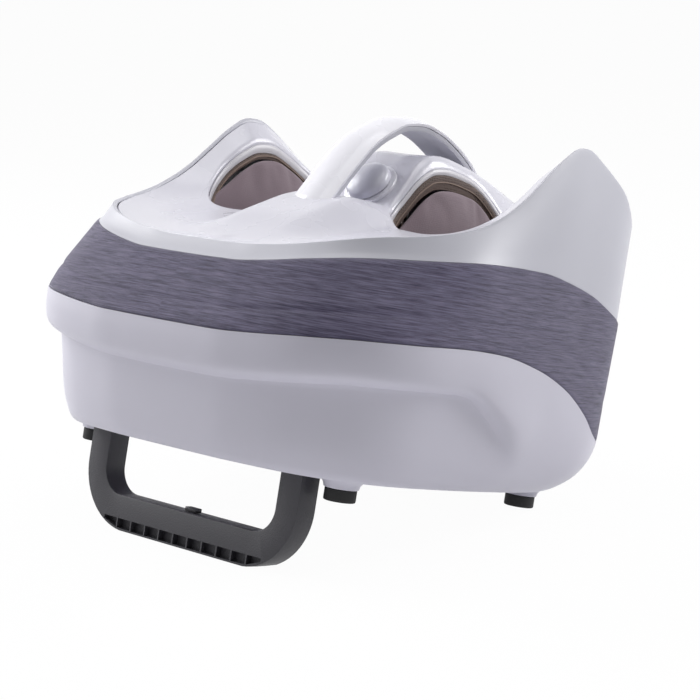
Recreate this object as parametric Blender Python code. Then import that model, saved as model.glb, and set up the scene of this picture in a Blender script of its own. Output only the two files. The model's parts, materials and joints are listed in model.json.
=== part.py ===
"""Foot massager with a fold-out stand, a carry handle and a turning dial.

Built in the machine's own frame: x to the right, y towards the heels, z up,
the soles of the four rubber feet at z = 0 and the toe-side feet at y = 0.
One empty then leans the whole machine back on its stand.
"""
import math

import bmesh
import bpy
import numpy as np
from mathutils import Matrix, Vector

MM = 0.001

# driving sizes of the body
HALF_WIDTH = 216 * MM
BODY_DEPTH = 409 * MM
TOE_OVERHANG = 90 * MM
WING_TOP = 310 * MM
HEEL_OVERHANG = 77 * MM
FEET_SIDE_INSET = 74 * MM
UNDERSIDE = 17.5 * MM
TILT = math.radians(13.45)

# walls and clearances
SHELL_WALL = 3 * MM
DECK_WALL = 4 * MM
PLATE_WALL = 3 * MM
FABRIC_WALL = 1.6 * MM
CARRIER_WALL = 2.5 * MM
CARRIER_GAP = 1.7 * MM
TOP_EDGE_GAP = 0.9 * MM
FIT = 0.3 * MM
RUNNING_GAP = 0.6 * MM
OVERRUN = 2 * MM

# insets of the body's levels from its widest outline
LOBE_TUCK = 15 * MM
LOBE_ROUND = 11 * MM
SILL_INSET = 34 * MM
FABRIC_TOP_FRONT_INSET = 21 * MM
FABRIC_TOP_SIDE_INSET = 8 * MM
FABRIC_KINK_INSET = 5 * MM
RIM_FRONT_INSET = 38 * MM
RIM_SIDE_INSET = 22 * MM
RIM_REAR_INSET = -8 * MM
FABRIC_TOP_REAR_INSET = -4 * MM
# how far the toe corners are drawn in and the heel corners flare out, at the fabric's top edge and at
# the rim
FABRIC_TOP_TUCK = 31 * MM
FABRIC_TOP_FLARE = 8.5 * MM
RIM_TUCK = 14 * MM
RIM_FLARE = 17 * MM

# foot wells
WELL_INNER = 38 * MM
WELL_SIDE_INSET = 43 * MM
WELL_TOE_INSET = 64 * MM
WELL_HEEL_INSET = 31 * MM
WELL_CORNER = 34 * MM
HEEL_CORNER = 58 * MM
TOE_CORNER = 46 * MM
LIP_WIDTH = 4.5 * MM
LIP_DROP = 13 * MM
LIP_CROWN = 1.5 * MM
STRIP_WALL = 3 * MM
STRIP_TOP = 9 * MM
STRIP_DROP = 22 * MM
LINER_WALL = 8 * MM
LINER_DROP = 28 * MM
LINER_BULGE = 3 * MM
SOLE_LEG_INSET = 9 * MM
SOLE_CLEARANCE = 0.5 * MM
SOLE_PLATE = 4 * MM

# ridge between the wells
RIDGE_FLAT = 34 * MM
RIDGE_FOOT = 72 * MM
WING_CREST_INSET = 26 * MM
WING_POWER = 2.4

# carry handle
HANDLE_HALF_WIDTH = 21.2 * MM
HANDLE_RISE = 14 * MM
HANDLE_CROWN = 4.7 * MM
HANDLE_COVER_WALL = 7.2 * MM
HANDLE_GRIP_WALL = 4.3 * MM
HANDLE_EDGE = 1.5 * MM

# dial
DIAL_RADIUS = 21 * MM
DIAL_HEIGHT = 13 * MM
DIAL_DOME = 6 * MM
DIAL_RING_WIDTH = 4 * MM
DIAL_RING_HEIGHT = 3 * MM
DIAL_LEAN = math.radians(50)
DIAL_SHAFT_RADIUS = 3 * MM
ENCODER_SIZE = 14 * MM
ENCODER_DEPTH = 8 * MM

# stand
STAND_SIDE_GAP = 5.5 * MM
STAND_LEG = 23 * MM
STAND_BAR = 30 * MM
STAND_THICK = 22 * MM
STAND_FRONT = -25 * MM
STAND_AXIS_Z = 26 * MM
STAND_OUTER_CORNER = 54 * MM
STAND_INNER_CORNER = 22 * MM
STAND_PIN_RADIUS = 4 * MM
STAND_PIN_REACH = 14 * MM
STAND_SWING_GAP = 4 * MM
POCKET_DEPTH = 6 * MM
POCKET_HEIGHT = 8 * MM
POCKET_COUNT = 9
POCKET_RIB = 3 * MM
LATCH_LENGTH = 13 * MM
LATCH_HEIGHT = 4 * MM

# rubber feet
FOOT_RADIUS = 13 * MM
FOOT_HEIGHT = 10 * MM
BOSS_RADIUS = 14.5 * MM
FOOT_CHAMFER = 1.5 * MM

# drive
CASE_CLEARANCE = 1.4 * MM
WHEEL_CLEARANCE = 2.7 * MM
WHEEL_SIDE_GAP = 1.5 * MM
ROLLER_SIDE_GAP = 36.5 * MM
ROLLER_RADIUS = 20.5 * MM
ROLLER_CORE = 12 * MM
ROLLER_LOBES = 5
ROLLER_TWIST = math.radians(60)
SHAFT_RADIUS = 5 * MM
SHAFT_OVERHANG = 6 * MM
BEARING_INSET = 64 * MM
BEARING_WIDTH = 9 * MM
BLOCK_WIDTH = 26 * MM
BLOCK_HEAD = 11 * MM
WHEEL_RADIUS = 21.5 * MM
WHEEL_TOOTH = 3 * MM
WHEEL_WIDTH = 12 * MM
WHEEL_TEETH = 24
WORM_RADIUS = 7 * MM
WORM_THREAD = 2 * MM
WORM_PITCH = 5.5 * MM
WORM_SHAFT_RADIUS = 3.5 * MM
MESH_GAP = 0.6 * MM
CASE_HALF_WIDTH = 30 * MM
CASE_WALL = 4 * MM
CASE_END_WALL = 6 * MM
CASE_HEAD = 12 * MM
BUSH_RADIUS = 7 * MM
MOTOR_RADIUS = 20 * MM
MOTOR_LENGTH = 66 * MM
MOTOR_COLLAR = 9 * MM
MOTOR_CRADLE_WALL = 10 * MM
MOTOR_CRADLE_LENGTH = 34 * MM

# air and electrics
PUMP_WIDTH = 50 * MM
PUMP_DEPTH = 34 * MM
PUMP_HEIGHT = 42 * MM
PUMP_CLEARANCE = 6 * MM
PUMP_END_GAP = 8 * MM
VALVE_WIDTH = 44 * MM
VALVE_DEPTH = 22 * MM
VALVE_HEIGHT = 16 * MM
HOSE_RADIUS = 3 * MM
BOARD_THICK = 1.6 * MM
BOARD_WIDTH = 46 * MM
BOARD_LENGTH = 60 * MM
BOARD_POST = 4 * MM
BOARD_EDGE = 1 * MM
POWER_LENGTH = 34 * MM
CHIP_HEIGHT = 5 * MM
INLET_WIDTH = 28 * MM
INLET_HEIGHT = 21 * MM
INLET_DEPTH = 20 * MM
INLET_FLANGE = 4 * MM
INLET_CENTRE_Z = 65.6 * MM
BAG_THICK = 12 * MM
BAG_LENGTH = 120 * MM
BAG_HEIGHT = 90 * MM
BAG_RISE = 27 * MM
INSTEP_THICK = 12 * MM
INSTEP_END_GAP = 19 * MM
INSTEP_SIDE_GAP = 25.5 * MM
HEATER_THICK = 1.5 * MM

# counts of segments
OUTLINE_POINT_COUNT = 48
WELL_POINT_COUNT = 32
ROUND_SIDES = 14
FINE_SIDES = 24
ENCODER_SIDES = 8
WORM_SIDES = 10
WORM_TURNS = 4
DECK_RING_COUNT = 8
DECK_RING_POWER = 1.1
CURVE_STEP_COUNT = 12
CORNER_STEP_COUNT = 10
STAND_CORNER_STEP_COUNT = 6
HANDLE_STATION_COUNT = 14
BLOCK_ROW_COUNT = 22
BLOCK_COLUMN_COUNT = 6
DOME_STEP_COUNT = 5
ROLLER_RING_COUNT = 5
LOBE_POINT_COUNT = 4
HOSE_STEP_COUNT = 4

QUARTER_TURN = math.pi / 2
# faces that meet at less than this are shaded as one
SHADE_ANGLE = math.radians(45)

# places along the body, as shares of its depth
WELL_OPEN_SHARE = 0.494
DIAL_SHARE = 0.577
HANDLE_START_SHARE = 0.375
HANDLE_END_SHARE = 0.905

# places and sizes that follow from the ones above
FRONT_Y = -TOE_OVERHANG
REAR_Y = FRONT_Y + BODY_DEPTH
MID_Y = (FRONT_Y + REAR_Y) / 2
FEET_SPREAD = HALF_WIDTH - FEET_SIDE_INSET
FEET_SPACING = REAR_Y - HEEL_OVERHANG
HANDLE_TOP = WING_TOP + HANDLE_RISE
HANDLE_START = FRONT_Y + BODY_DEPTH * HANDLE_START_SHARE
HANDLE_LENGTH = BODY_DEPTH * (HANDLE_END_SHARE - HANDLE_START_SHARE)
DIAL_SEAT_Y = FRONT_Y + BODY_DEPTH * DIAL_SHARE
WING_CREST = HALF_WIDTH - WING_CREST_INSET

WELL_OUTER = HALF_WIDTH - WELL_SIDE_INSET
WELL_CENTRE = (WELL_INNER + WELL_OUTER) / 2
WELL_TOE_END = FRONT_Y + WELL_TOE_INSET
WELL_OPEN_START = FRONT_Y + BODY_DEPTH * WELL_OPEN_SHARE
WELL_END = REAR_Y - WELL_HEEL_INSET
INSTEP_START = WELL_TOE_END + TOE_CORNER / 2
INSTEP_LENGTH = WELL_OPEN_START - INSTEP_START - INSTEP_END_GAP
INSTEP_WIDTH = WELL_OUTER - WELL_INNER - INSTEP_SIDE_GAP * 2

# the stand, as deep as its hinge is above the ground when the machine leans, and the recess that it
# folds into
STAND_HALF_WIDTH = FEET_SPREAD - BOSS_RADIUS - STAND_SIDE_GAP
STAND_MID_Y = STAND_FRONT + STAND_THICK / 2
STAND_DROP = math.tan(TILT) * (FEET_SPACING + FOOT_RADIUS - FOOT_CHAMFER - STAND_FRONT)
TRAY_ROOF = STAND_AXIS_Z + STAND_THICK / 2 + RUNNING_GAP * 2
TRAY_HALF = STAND_HALF_WIDTH + STAND_SWING_GAP
TRAY_END = STAND_MID_Y + STAND_AXIS_Z + STAND_DROP + STAND_SWING_GAP

# the drive, between the recess and the air pump
PLATE_FLOOR = UNDERSIDE + PLATE_WALL + FIT
DRIVE_AXIS_Z = PLATE_FLOOR + PLATE_WALL + WHEEL_RADIUS + WHEEL_CLEARANCE
WORM_AXIS_Z = DRIVE_AXIS_Z + WHEEL_RADIUS + WORM_RADIUS + MESH_GAP
SOLE_TOP = DRIVE_AXIS_Z + ROLLER_RADIUS + SOLE_CLEARANCE
CASE_MARGIN = WHEEL_RADIUS + WHEEL_SIDE_GAP + CASE_END_WALL
CASE_TOP = WORM_AXIS_Z + CASE_HEAD
FRONT_SHAFT_Y = TRAY_END + PLATE_WALL + CASE_CLEARANCE + CASE_MARGIN
PUMP_START = REAR_Y - SILL_INSET - PUMP_END_GAP - PUMP_DEPTH
REAR_SHAFT_Y = PUMP_START - PUMP_CLEARANCE - CASE_MARGIN
BEARING_CENTRE = HALF_WIDTH - BEARING_INSET
SHAFT_HALF = BEARING_CENTRE + SHAFT_OVERHANG
ROLLER_LENGTH = WELL_OUTER - WELL_INNER - ROLLER_SIDE_GAP * 2

# right half of the plan outline, from the toe end to the heel end:
# share of the half width, share of the depth
OUTLINE_SHARES = [
    (0, 0), (0.20, 0.001), (0.37, 0.006), (0.65, 0.037), (0.833, 0.103), (0.94, 0.205), (0.986, 0.342),
    (1, 0.513), (0.986, 0.685), (0.935, 0.831), (0.824, 0.924), (0.602, 0.976), (0.278, 0.995), (0, 1)]

# heights along the depth: share of the depth, share of the wing's height
FABRIC_BOTTOM_SHARES = [
    (0, 0.384), (0.037, 0.404), (0.103, 0.416), (0.2, 0.423), (0.342, 0.430), (0.42, 0.427), (0.54, 0.403),
    (0.66, 0.356), (0.763, 0.29), (0.831, 0.236), (0.924, 0.2), (1, 0.18)]
FABRIC_TOP_SHARES = [
    (0, 0.561), (0.037, 0.592), (0.103, 0.615), (0.2, 0.632), (0.347, 0.65), (0.434, 0.653), (0.524, 0.652),
    (0.614, 0.639), (0.717, 0.616), (0.831, 0.572), (0.924, 0.548), (1, 0.535)]
LOBE_BOTTOM_SHARES = [
    (0, 0.271), (0.037, 0.287), (0.103, 0.3), (0.342, 0.308), (0.447, 0.263), (0.545, 0.18), (0.61, 0.105),
    (0.68, 0.078), (1, 0.075)]
WING_RIM_SHARES = [
    (0, 0.7), (0.22, 0.7), (0.296, 0.712), (0.379, 0.742), (0.43, 0.774), (0.487, 0.822), (0.543, 0.884),
    (0.599, 0.948), (0.65, 0.99), (0.7, 1), (0.746, 0.986), (0.807, 0.955), (0.85, 0.926), (0.9, 0.87),
    (0.95, 0.815), (1, 0.79)]
RIDGE_SHARES = [
    (0, 0.6), (0.093, 0.606), (0.15, 0.617), (0.22, 0.655), (0.284, 0.703), (0.342, 0.739), (0.401, 0.771),
    (0.44, 0.782), (0.494, 0.781), (0.533, 0.778), (0.562, 0.806), (0.587, 0.845), (0.611, 0.885),
    (0.636, 0.915), (0.667, 0.938), (0.709, 0.945), (0.797, 0.932), (0.875, 0.91), (1, 0.86)]
DECK_SHARES = [
    (0, 0.6), (0.093, 0.606), (0.22, 0.642), (0.342, 0.676), (0.509, 0.718), (0.65, 0.735), (0.929, 0.76),
    (1, 0.77)]

# handle: share of the handle's length, share of the handle's height
HANDLE_SHARES = [
    (0, 0.725), (0.038, 0.756), (0.134, 0.836), (0.25, 0.919), (0.336, 0.958), (0.442, 0.991),
    (0.557, 1), (0.673, 0.988), (0.798, 0.958), (0.904, 0.92), (1, 0.868)]

# lower section at the toe end, from the fabric down: how far the wall goes straight towards the lobe,
# the rounding as shares of the lobe's tuck and of its rounding, the wall under it as shares of the
# lobe's tuck and of the height from the sill to the lobe, and the rounding above the sill
LOBE_WALL_SHARE = 0.35
LOBE_ROUND_SHARES = [(0.13, 1), (0.37, 0.45), (0.8, 0.1)]
TOE_SECTION_SHARES = [(1.0, 0.95), (1.47, 0.38), (1.87, 0.12)]
SILL_ROUND_SHARES = (0.92, 0.035)
# share of the lobe's fall along the side at which the heel section has taken over
LOBE_FADE_SHARE = 0.95
# the same levels at the heel end: share of the sill's inset, share of the height from sill to fabric
HEEL_SECTION_SHARES = [
    (0, 1), (0.05, 0.82), (0.13, 0.64), (0.24, 0.48), (0.36, 0.35), (0.5, 0.24), (0.66, 0.14), (0.82, 0.06),
    (0.93, 0.02), (1, 0)]

# levels of the woven band as shares of its height, and its lean between them
BAND_LEVEL_SHARES = (0.33, 0.67)
BAND_LEAN_SHARE = 0.55
KINK_LEAN_SHARE = 0.24
KINK_SIDE_SHARE = 0.4
# shares of the depth where the toe corners' tuck ends and the heel corners' flare starts and is full
TUCK_END_SHARE = 0.35
FLARE_START_SHARE = 0.65
FLARE_FULL_SHARE = 0.95
# side wall: share of its height, share of its lean at the toe end, share of its lean at the heel end
SIDE_WALL_SHARES = [(0, 0, 0), (0.25, 0.32, 0.08), (0.6, 0.66, 0.4), (1, 1, 1)]
# stations of an air cushion across and along, as shares of its half width and of its length
BAG_ACROSS_SHARES = (-1, -0.82, -0.3, 0.3, 0.82, 1)
BAG_ALONG_SHARES = (0, 0.12, 0.5, 0.88, 1)
# tooth of a worm wheel: share of the pitch, share of the tooth's height
TOOTH_SHARES = [(0, 0), (0.3, 0), (0.42, 1), (0.68, 1)]
# crest of a worm's thread: shares of its pitch
CREST_SHARES = (0.3, 0.6)
# largest corner that a well's outline has room for: share of its narrower side
CORNER_ROOM_SHARE = 0.48
# arched face of the handle's cover: share of its half width, share of its crown
HANDLE_CROWN_SHARES = [(-1, 1), (-0.8, 0.6), (-0.5, 0.2), (0, 0), (0.5, 0.2), (0.8, 0.6), (1, 1)]
# how far the row of pockets reaches into the stand's corner, how far the ends of a roller taper,
# and where a hose turns towards its cushion
POCKET_ROW_SHARE = 0.6
ROLLER_END_SHARE = 0.12
HOSE_BEND_SHARE = 0.6

for old in list(bpy.data.objects):
    bpy.data.objects.remove(old, do_unlink=True)

ROOT = bpy.data.objects.new("massager_frame", None)
bpy.context.collection.objects.link(ROOT)


def linear(channel):
    """One sRGB channel as linear light."""
    return channel / 12.92 if channel <= 0.04045 else ((channel + 0.055) / 1.055) ** 2.4


def material(name, colour, roughness, metallic=0):
    """A plain Principled material from an sRGB hex colour."""
    mat = bpy.data.materials.new(name)
    mat.use_nodes = True
    shader = mat.node_tree.nodes["Principled BSDF"]
    rgb = [linear(int(colour[k:k + 2], 16) / 255) for k in (0, 2, 4)]
    shader.inputs["Base Color"].default_value = (*rgb, 1)
    shader.inputs["Roughness"].default_value = roughness
    shader.inputs["Metallic"].default_value = metallic
    return mat


GLOSS_WHITE = material("gloss_white_abs", "EDEDF3", 0.12)
SATIN_WHITE = material("satin_white_abs", "C9C9D3", 0.4)
LILAC_WHITE = material("lilac_white_abs", "D6D5E1", 0.38)
WARM_WHITE = material("warm_white_abs", "CFCCC9", 0.35)
HEATHER = material("heather_fabric", "7B7394", 0.9)
MAUVE = material("mauve_padded_fabric", "857681", 0.8)
BROWN_MESH = material("brown_mesh", "5E4A40", 0.8)
CHARCOAL = material("charcoal_nylon", "35343A", 0.6)
BLACK_RUBBER = material("black_rubber", "141416", 0.8)
STEEL = material("bright_steel", "C4C6C8", 0.3, 1)
BRASS = material("brass", "B5924C", 0.35, 1)
ACETAL = material("natural_acetal", "E6E2D6", 0.4)
BOARD_GREEN = material("board_laminate", "1F5A37", 0.5)
PALE_RUBBER = material("pale_silicone", "D8D4C8", 0.5)
BLACK_PLASTIC = material("black_plastic", "1C1C1F", 0.45)
HEATER_FILM = material("heater_film", "B06A2C", 0.5)


def curve_at(shares, t):
    """Smooth curve through a table of shares, read at t."""
    xs = [p[0] for p in shares]
    ys = [p[1] for p in shares]
    t = min(max(t, xs[0]), xs[-1])
    k = max(0, min(len(xs) - 2, int(np.searchsorted(xs, t, side="right")) - 1))
    slopes = [(ys[j + 1] - ys[j]) / (xs[j + 1] - xs[j]) for j in range(len(xs) - 1)]

    def tangent(j):
        if j == 0 or j == len(xs) - 1:
            return slopes[min(j, len(slopes) - 1)]
        before, after = slopes[j - 1], slopes[j]
        if before * after <= 0:
            return 0
        return 2 * before * after / (before + after)

    span = xs[k + 1] - xs[k]
    s = (t - xs[k]) / span
    low = ys[k] * (1 + 2 * s) * (1 - s) ** 2 + ys[k + 1] * s * s * (3 - 2 * s)
    return low + span * (tangent(k) * s * (1 - s) ** 2 - tangent(k + 1) * s * s * (1 - s))


def ease(t):
    """Smooth step from 0 to 1."""
    t = min(max(t, 0), 1)
    return t * t * (3 - 2 * t)


def catmull(points, steps):
    """Points along a smooth open curve through the given ones."""
    pts = [np.array(p, float) for p in points]
    out = []
    for k in range(len(pts) - 1):
        a = pts[k - 1] if k else pts[k] * 2 - pts[k + 1]
        b, c = pts[k], pts[k + 1]
        d = pts[k + 2] if k + 2 < len(pts) else pts[k + 1] * 2 - pts[k]
        for s in range(steps):
            t = s / steps
            out.append(0.5 * ((2 * b) + (c - a) * t + (2 * a - 5 * b + 4 * c - d) * t * t
                              + (3 * b - a - 3 * c + d) * t ** 3))
    out.append(pts[-1])
    return out


def plan_outline(count):
    """Closed plan outline as shares of half width and depth, evenly spaced."""
    mirrored = [(-OUTLINE_SHARES[1][0], OUTLINE_SHARES[1][1])] + OUTLINE_SHARES
    mirrored = mirrored + [(-OUTLINE_SHARES[-2][0], OUTLINE_SHARES[-2][1])]
    fine = catmull(mirrored, CURVE_STEP_COUNT)[CURVE_STEP_COUNT:-CURVE_STEP_COUNT]
    half = count // 2
    ratio = HALF_WIDTH / BODY_DEPTH
    gaps = [math.hypot((q[0] - p[0]) * ratio, q[1] - p[1]) for p, q in zip(fine[:-1], fine[1:])]
    run = np.concatenate([[0], np.cumsum(gaps)])
    right = []
    for k in range(half + 1):
        at = run[-1] * k / half
        right.append((float(np.interp(at, run, [p[0] for p in fine])),
                      float(np.interp(at, run, [p[1] for p in fine]))))
    left = [(-x, y) for x, y in right[-2:0:-1]]
    return right + left


OUTLINE = plan_outline(OUTLINE_POINT_COUNT)


def widening(y_share, tuck, flare):
    """How far a level is wider than its plain outline: drawn in at the toe end, flared at the heel end."""
    drawn = 1 - ease(y_share / TUCK_END_SHARE)
    spread = ease((y_share - FLARE_START_SHARE) / (FLARE_FULL_SHARE - FLARE_START_SHARE))
    return flare * spread - tuck * drawn


def level(front_inset, side_inset, rear_inset, height, extra=0, tuck=0, flare=0):
    """Ring of the body at a level; height is a function of the depth share."""
    front = FRONT_Y + front_inset + extra
    rear = REAR_Y - rear_inset - extra
    half = HALF_WIDTH - side_inset - extra
    return [Vector((x * (half + widening(y, tuck, flare)), front + y * (rear - front), height(x, y)))
            for x, y in OUTLINE]


def depth_share(y):
    """Share of the body's depth at a place along it."""
    return (y - FRONT_Y) / BODY_DEPTH


def top_height(x, y):
    """Height of the moulded top: ridge in the middle, deck beside it, wings outside."""
    t = depth_share(y)
    ridge = curve_at(RIDGE_SHARES, t) * WING_TOP
    deck = curve_at(DECK_SHARES, t) * WING_TOP
    wing = curve_at(WING_RIM_SHARES, t) * WING_TOP
    x = abs(x)
    middle = ridge + (deck - ridge) * ease((x - RIDGE_FLAT) / (RIDGE_FOOT - RIDGE_FLAT))
    return middle + (wing - deck) * (x / (WING_CREST + widening(t, RIM_TUCK, RIM_FLARE))) ** WING_POWER


def fabric_bottom(y_share):
    return curve_at(FABRIC_BOTTOM_SHARES, y_share) * WING_TOP


def fabric_top(y_share):
    return curve_at(FABRIC_TOP_SHARES, y_share) * WING_TOP


def lobe_bottom(y_share):
    return curve_at(LOBE_BOTTOM_SHARES, y_share) * WING_TOP


def link(name, mesh, mat, smooth=False, parent=None):
    """Make an object from a mesh and hang it on the frame."""
    obj = bpy.data.objects.new(name, mesh)
    bpy.context.collection.objects.link(obj)
    mesh.materials.append(mat)
    obj.parent = parent or ROOT
    if smooth:
        mesh.shade_smooth()
        mesh.set_sharp_from_angle(angle=SHADE_ANGLE)
    return obj


def mesh_from(name, build):
    """Mesh made by a function that fills a bmesh."""
    bm = bmesh.new()
    build(bm)
    bmesh.ops.recalc_face_normals(bm, faces=bm.faces)
    mesh = bpy.data.meshes.new(name)
    bm.to_mesh(mesh)
    bm.free()
    return mesh


def ring_body(rings):
    """Closed ring-shaped body through a loop of rings, such as out, up, in and down."""
    def build(bm):
        rows = [[bm.verts.new(p) for p in ring] for ring in rings]
        count = len(rows[0])
        for row, nxt in zip(rows, rows[1:] + rows[:1]):
            for k in range(count):
                bm.faces.new((row[k], row[(k + 1) % count], nxt[(k + 1) % count], nxt[k]))
    return build


def stack_body(rings):
    """Closed body through a stack of rings, capped at both ends."""
    def build(bm):
        rows = [[bm.verts.new(p) for p in ring] for ring in rings]
        count = len(rows[0])
        for row, nxt in zip(rows[:-1], rows[1:]):
            for k in range(count):
                bm.faces.new((row[k], row[(k + 1) % count], nxt[(k + 1) % count], nxt[k]))
        bm.faces.new(rows[0])
        bm.faces.new(rows[-1])
    return build


def box_body(low, high, bevel=0):
    """Box between two corners, with its edges cut back where asked."""
    def build(bm):
        bmesh.ops.create_cube(bm, size=1)
        for v in bm.verts:
            for axis in range(3):
                v.co[axis] = low[axis] if v.co[axis] < 0 else high[axis]
        if bevel:
            bmesh.ops.bevel(bm, geom=bm.edges[:], offset=bevel, segments=1, affect="EDGES")
    return build


def turned_body(profile, sides, matrix=None, angle=0):
    """Body turned about local z from (radius, height) points, bottom to top."""
    def build(bm):
        rings = []
        for radius, height in profile:
            rings.append([bm.verts.new((radius * math.cos(angle + math.tau * k / sides),
                                        radius * math.sin(angle + math.tau * k / sides), height))
                          for k in range(sides)])
        for low, high in zip(rings[:-1], rings[1:]):
            for k in range(sides):
                bm.faces.new((low[k], low[(k + 1) % sides], high[(k + 1) % sides], high[k]))
        bm.faces.new(rings[0])
        bm.faces.new(rings[-1])
        if matrix is not None:
            bmesh.ops.transform(bm, matrix=matrix, verts=bm.verts)
    return build


def along_x(place):
    """Local z turned onto x, moved to a place."""
    return Matrix.Translation(place) @ Matrix.Rotation(math.pi / 2, 4, "Y")


def along_y(place):
    """Local z turned onto y, moved to a place."""
    return Matrix.Translation(place) @ Matrix.Rotation(-math.pi / 2, 4, "X")


def rod(radius, half_length, matrix, sides=ROUND_SIDES):
    """Plain round body centred on its place."""
    return turned_body([(radius, -half_length), (radius, half_length)], sides, matrix)


def cutter(name, build):
    """Hidden solid that shapes another piece."""
    obj = link(name, mesh_from(name, build), CHARCOAL)
    obj.hide_render = True
    obj.display_type = "WIRE"
    return obj


def combine(obj, operation, name, build):
    """Add or cut a shape with a Boolean modifier."""
    mod = obj.modifiers.new(name, "BOOLEAN")
    mod.operation = operation
    mod.object = cutter(name, build)
    return mod


def rounded_outline(x0, x1, y0, y1, front_corner, rear_corner, count):
    """Closed rounded rectangle in plan, evenly spaced, mirrored for negative sides."""
    loop = []
    room = min(x1 - x0, y1 - y0) * CORNER_ROOM_SHARE
    front_corner, rear_corner = min(front_corner, room), min(rear_corner, room)
    corners = [(x1 - front_corner, y0 + front_corner, front_corner),
               (x1 - rear_corner, y1 - rear_corner, rear_corner),
               (x0 + rear_corner, y1 - rear_corner, rear_corner),
               (x0 + front_corner, y0 + front_corner, front_corner)]
    for number, (cx, cy, radius) in enumerate(corners):
        for k in range(CORNER_STEP_COUNT + 1):
            a = QUARTER_TURN * (number - 1 + k / CORNER_STEP_COUNT)
            loop.append((cx + radius * math.cos(a), cy + radius * math.sin(a)))
    closed = loop + loop[:1]
    gaps = [math.dist(p, q) for p, q in zip(closed[:-1], closed[1:])]
    run = np.concatenate([[0], np.cumsum(gaps)])
    at = [run[-1] * k / count for k in range(count)]
    return [(float(np.interp(a, run, [p[0] for p in closed])),
             float(np.interp(a, run, [p[1] for p in closed]))) for a in at]


def well_ring(side, inset, height, front=None, corner=None):
    """Ring inside a well's opening; height is a function of x and y."""
    y0 = (WELL_OPEN_START if front is None else front) + inset
    lead = max((WELL_CORNER if corner is None else corner) - inset, OVERRUN)
    pts = rounded_outline(WELL_INNER + inset, WELL_OUTER - inset, y0, WELL_END - inset,
                          lead, max(HEEL_CORNER - inset, OVERRUN), WELL_POINT_COUNT)
    return [Vector((side * x, y, height(x, y))) for x, y in pts]


def deck_at(drop):
    """Height function that follows the moulded top at a fixed drop."""
    return lambda x, y: top_height(x, y) - drop


def flat_at(z):
    """Height function of a flat level."""
    return lambda x, y: z


def lower_profile(y_share):
    """Insets and heights of the lower shell's face at one place along the body, top to bottom."""
    seam, lobe = fabric_bottom(y_share), lobe_bottom(y_share)
    toe = [(0, seam - FIT), (0, seam - (seam - lobe) * LOBE_WALL_SHARE)]
    toe += [(LOBE_TUCK * a, lobe + LOBE_ROUND * b) for a, b in LOBE_ROUND_SHARES]
    toe += [(LOBE_TUCK * a, UNDERSIDE + (lobe - UNDERSIDE) * b) for a, b in TOE_SECTION_SHARES]
    toe += [(SILL_INSET * SILL_ROUND_SHARES[0], UNDERSIDE + (lobe - UNDERSIDE) * SILL_ROUND_SHARES[1]),
            (SILL_INSET, UNDERSIDE)]
    heel = [(SILL_INSET * a, UNDERSIDE + (seam - FIT - UNDERSIDE) * b) for a, b in HEEL_SECTION_SHARES]
    highest = max(p[1] for p in LOBE_BOTTOM_SHARES) * WING_TOP
    lowest = min(p[1] for p in LOBE_BOTTOM_SHARES) * WING_TOP
    w = ease((highest - lobe) / (highest - lowest) / LOBE_FADE_SHARE)
    return [(a[0] + (b[0] - a[0]) * w, a[1] + (b[1] - a[1]) * w) for a, b in zip(toe, heel)]


def lower_section(extra):
    """Rings of the lower shell's outer face, from the fabric down to the sill."""
    rings = [[] for _ in HEEL_SECTION_SHARES]
    for x, y in OUTLINE:
        for ring, (inset, z) in zip(rings, lower_profile(y)):
            inset += extra
            front, rear, half = FRONT_Y + inset, REAR_Y - inset, HALF_WIDTH - inset
            ring.append(Vector((x * half, front + y * (rear - front), z)))
    return rings


def make_lower_shell():
    """Lilac-white lower shell with the overhanging lobe and a turned-in sill."""
    outer = lower_section(0)
    inner = lower_section(SHELL_WALL)
    sill = [Vector((p.x, p.y, UNDERSIDE + PLATE_WALL)) for p in outer[-1]]
    keep = [inner[0], inner[2], inner[5], inner[7]]
    ledge = [Vector((p.x, p.y, max(p.z, UNDERSIDE + PLATE_WALL + OVERRUN))) for p in inner[8]]
    return link("lower_shell", mesh_from("lower_shell", ring_body(outer + [sill, ledge] + keep[::-1])),
                LILAC_WHITE, True)


def band_rings(extra):
    """Rings of the fabric band's face, bottom to top."""
    def height(share):
        return lambda x, y: fabric_bottom(y) + (fabric_top(y) - fabric_bottom(y)) * share

    def leaning(front, side, share, lean):
        return level(front, side, FABRIC_TOP_REAR_INSET * lean, height(share), extra,
                     FABRIC_TOP_TUCK * lean, FABRIC_TOP_FLARE * lean)

    lower, upper = BAND_LEVEL_SHARES
    return [level(0, 0, 0, height(0), extra),
            leaning(FABRIC_KINK_INSET, FABRIC_KINK_INSET * KINK_SIDE_SHARE, lower, KINK_LEAN_SHARE),
            leaning(FABRIC_TOP_FRONT_INSET * BAND_LEAN_SHARE, FABRIC_TOP_SIDE_INSET * BAND_LEAN_SHARE, upper,
                    BAND_LEAN_SHARE),
            leaning(FABRIC_TOP_FRONT_INSET, FABRIC_TOP_SIDE_INSET, 1, 1)]


def make_band():
    """Woven fabric band and the moulded carrier ring that it is stretched over."""
    outer = band_rings(0)
    inner = band_rings(FABRIC_WALL)
    link("fabric_band", mesh_from("fabric_band", ring_body(outer + inner[::-1])), HEATHER, True)
    face = band_rings(FABRIC_WALL + CARRIER_GAP)
    back = band_rings(FABRIC_WALL + CARRIER_GAP + CARRIER_WALL)
    link("band_carrier", mesh_from("band_carrier", ring_body(face + [back[3], back[1], back[0]])),
         BLACK_PLASTIC, True)


def rim_ring(extra):
    """Ring along the top edge of the side wall."""
    ring = level(RIM_FRONT_INSET, RIM_SIDE_INSET, RIM_REAR_INSET, lambda x, y: 0, extra, RIM_TUCK, RIM_FLARE)
    for p in ring:
        p.z = top_height(p.x, p.y)
    return ring


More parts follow.
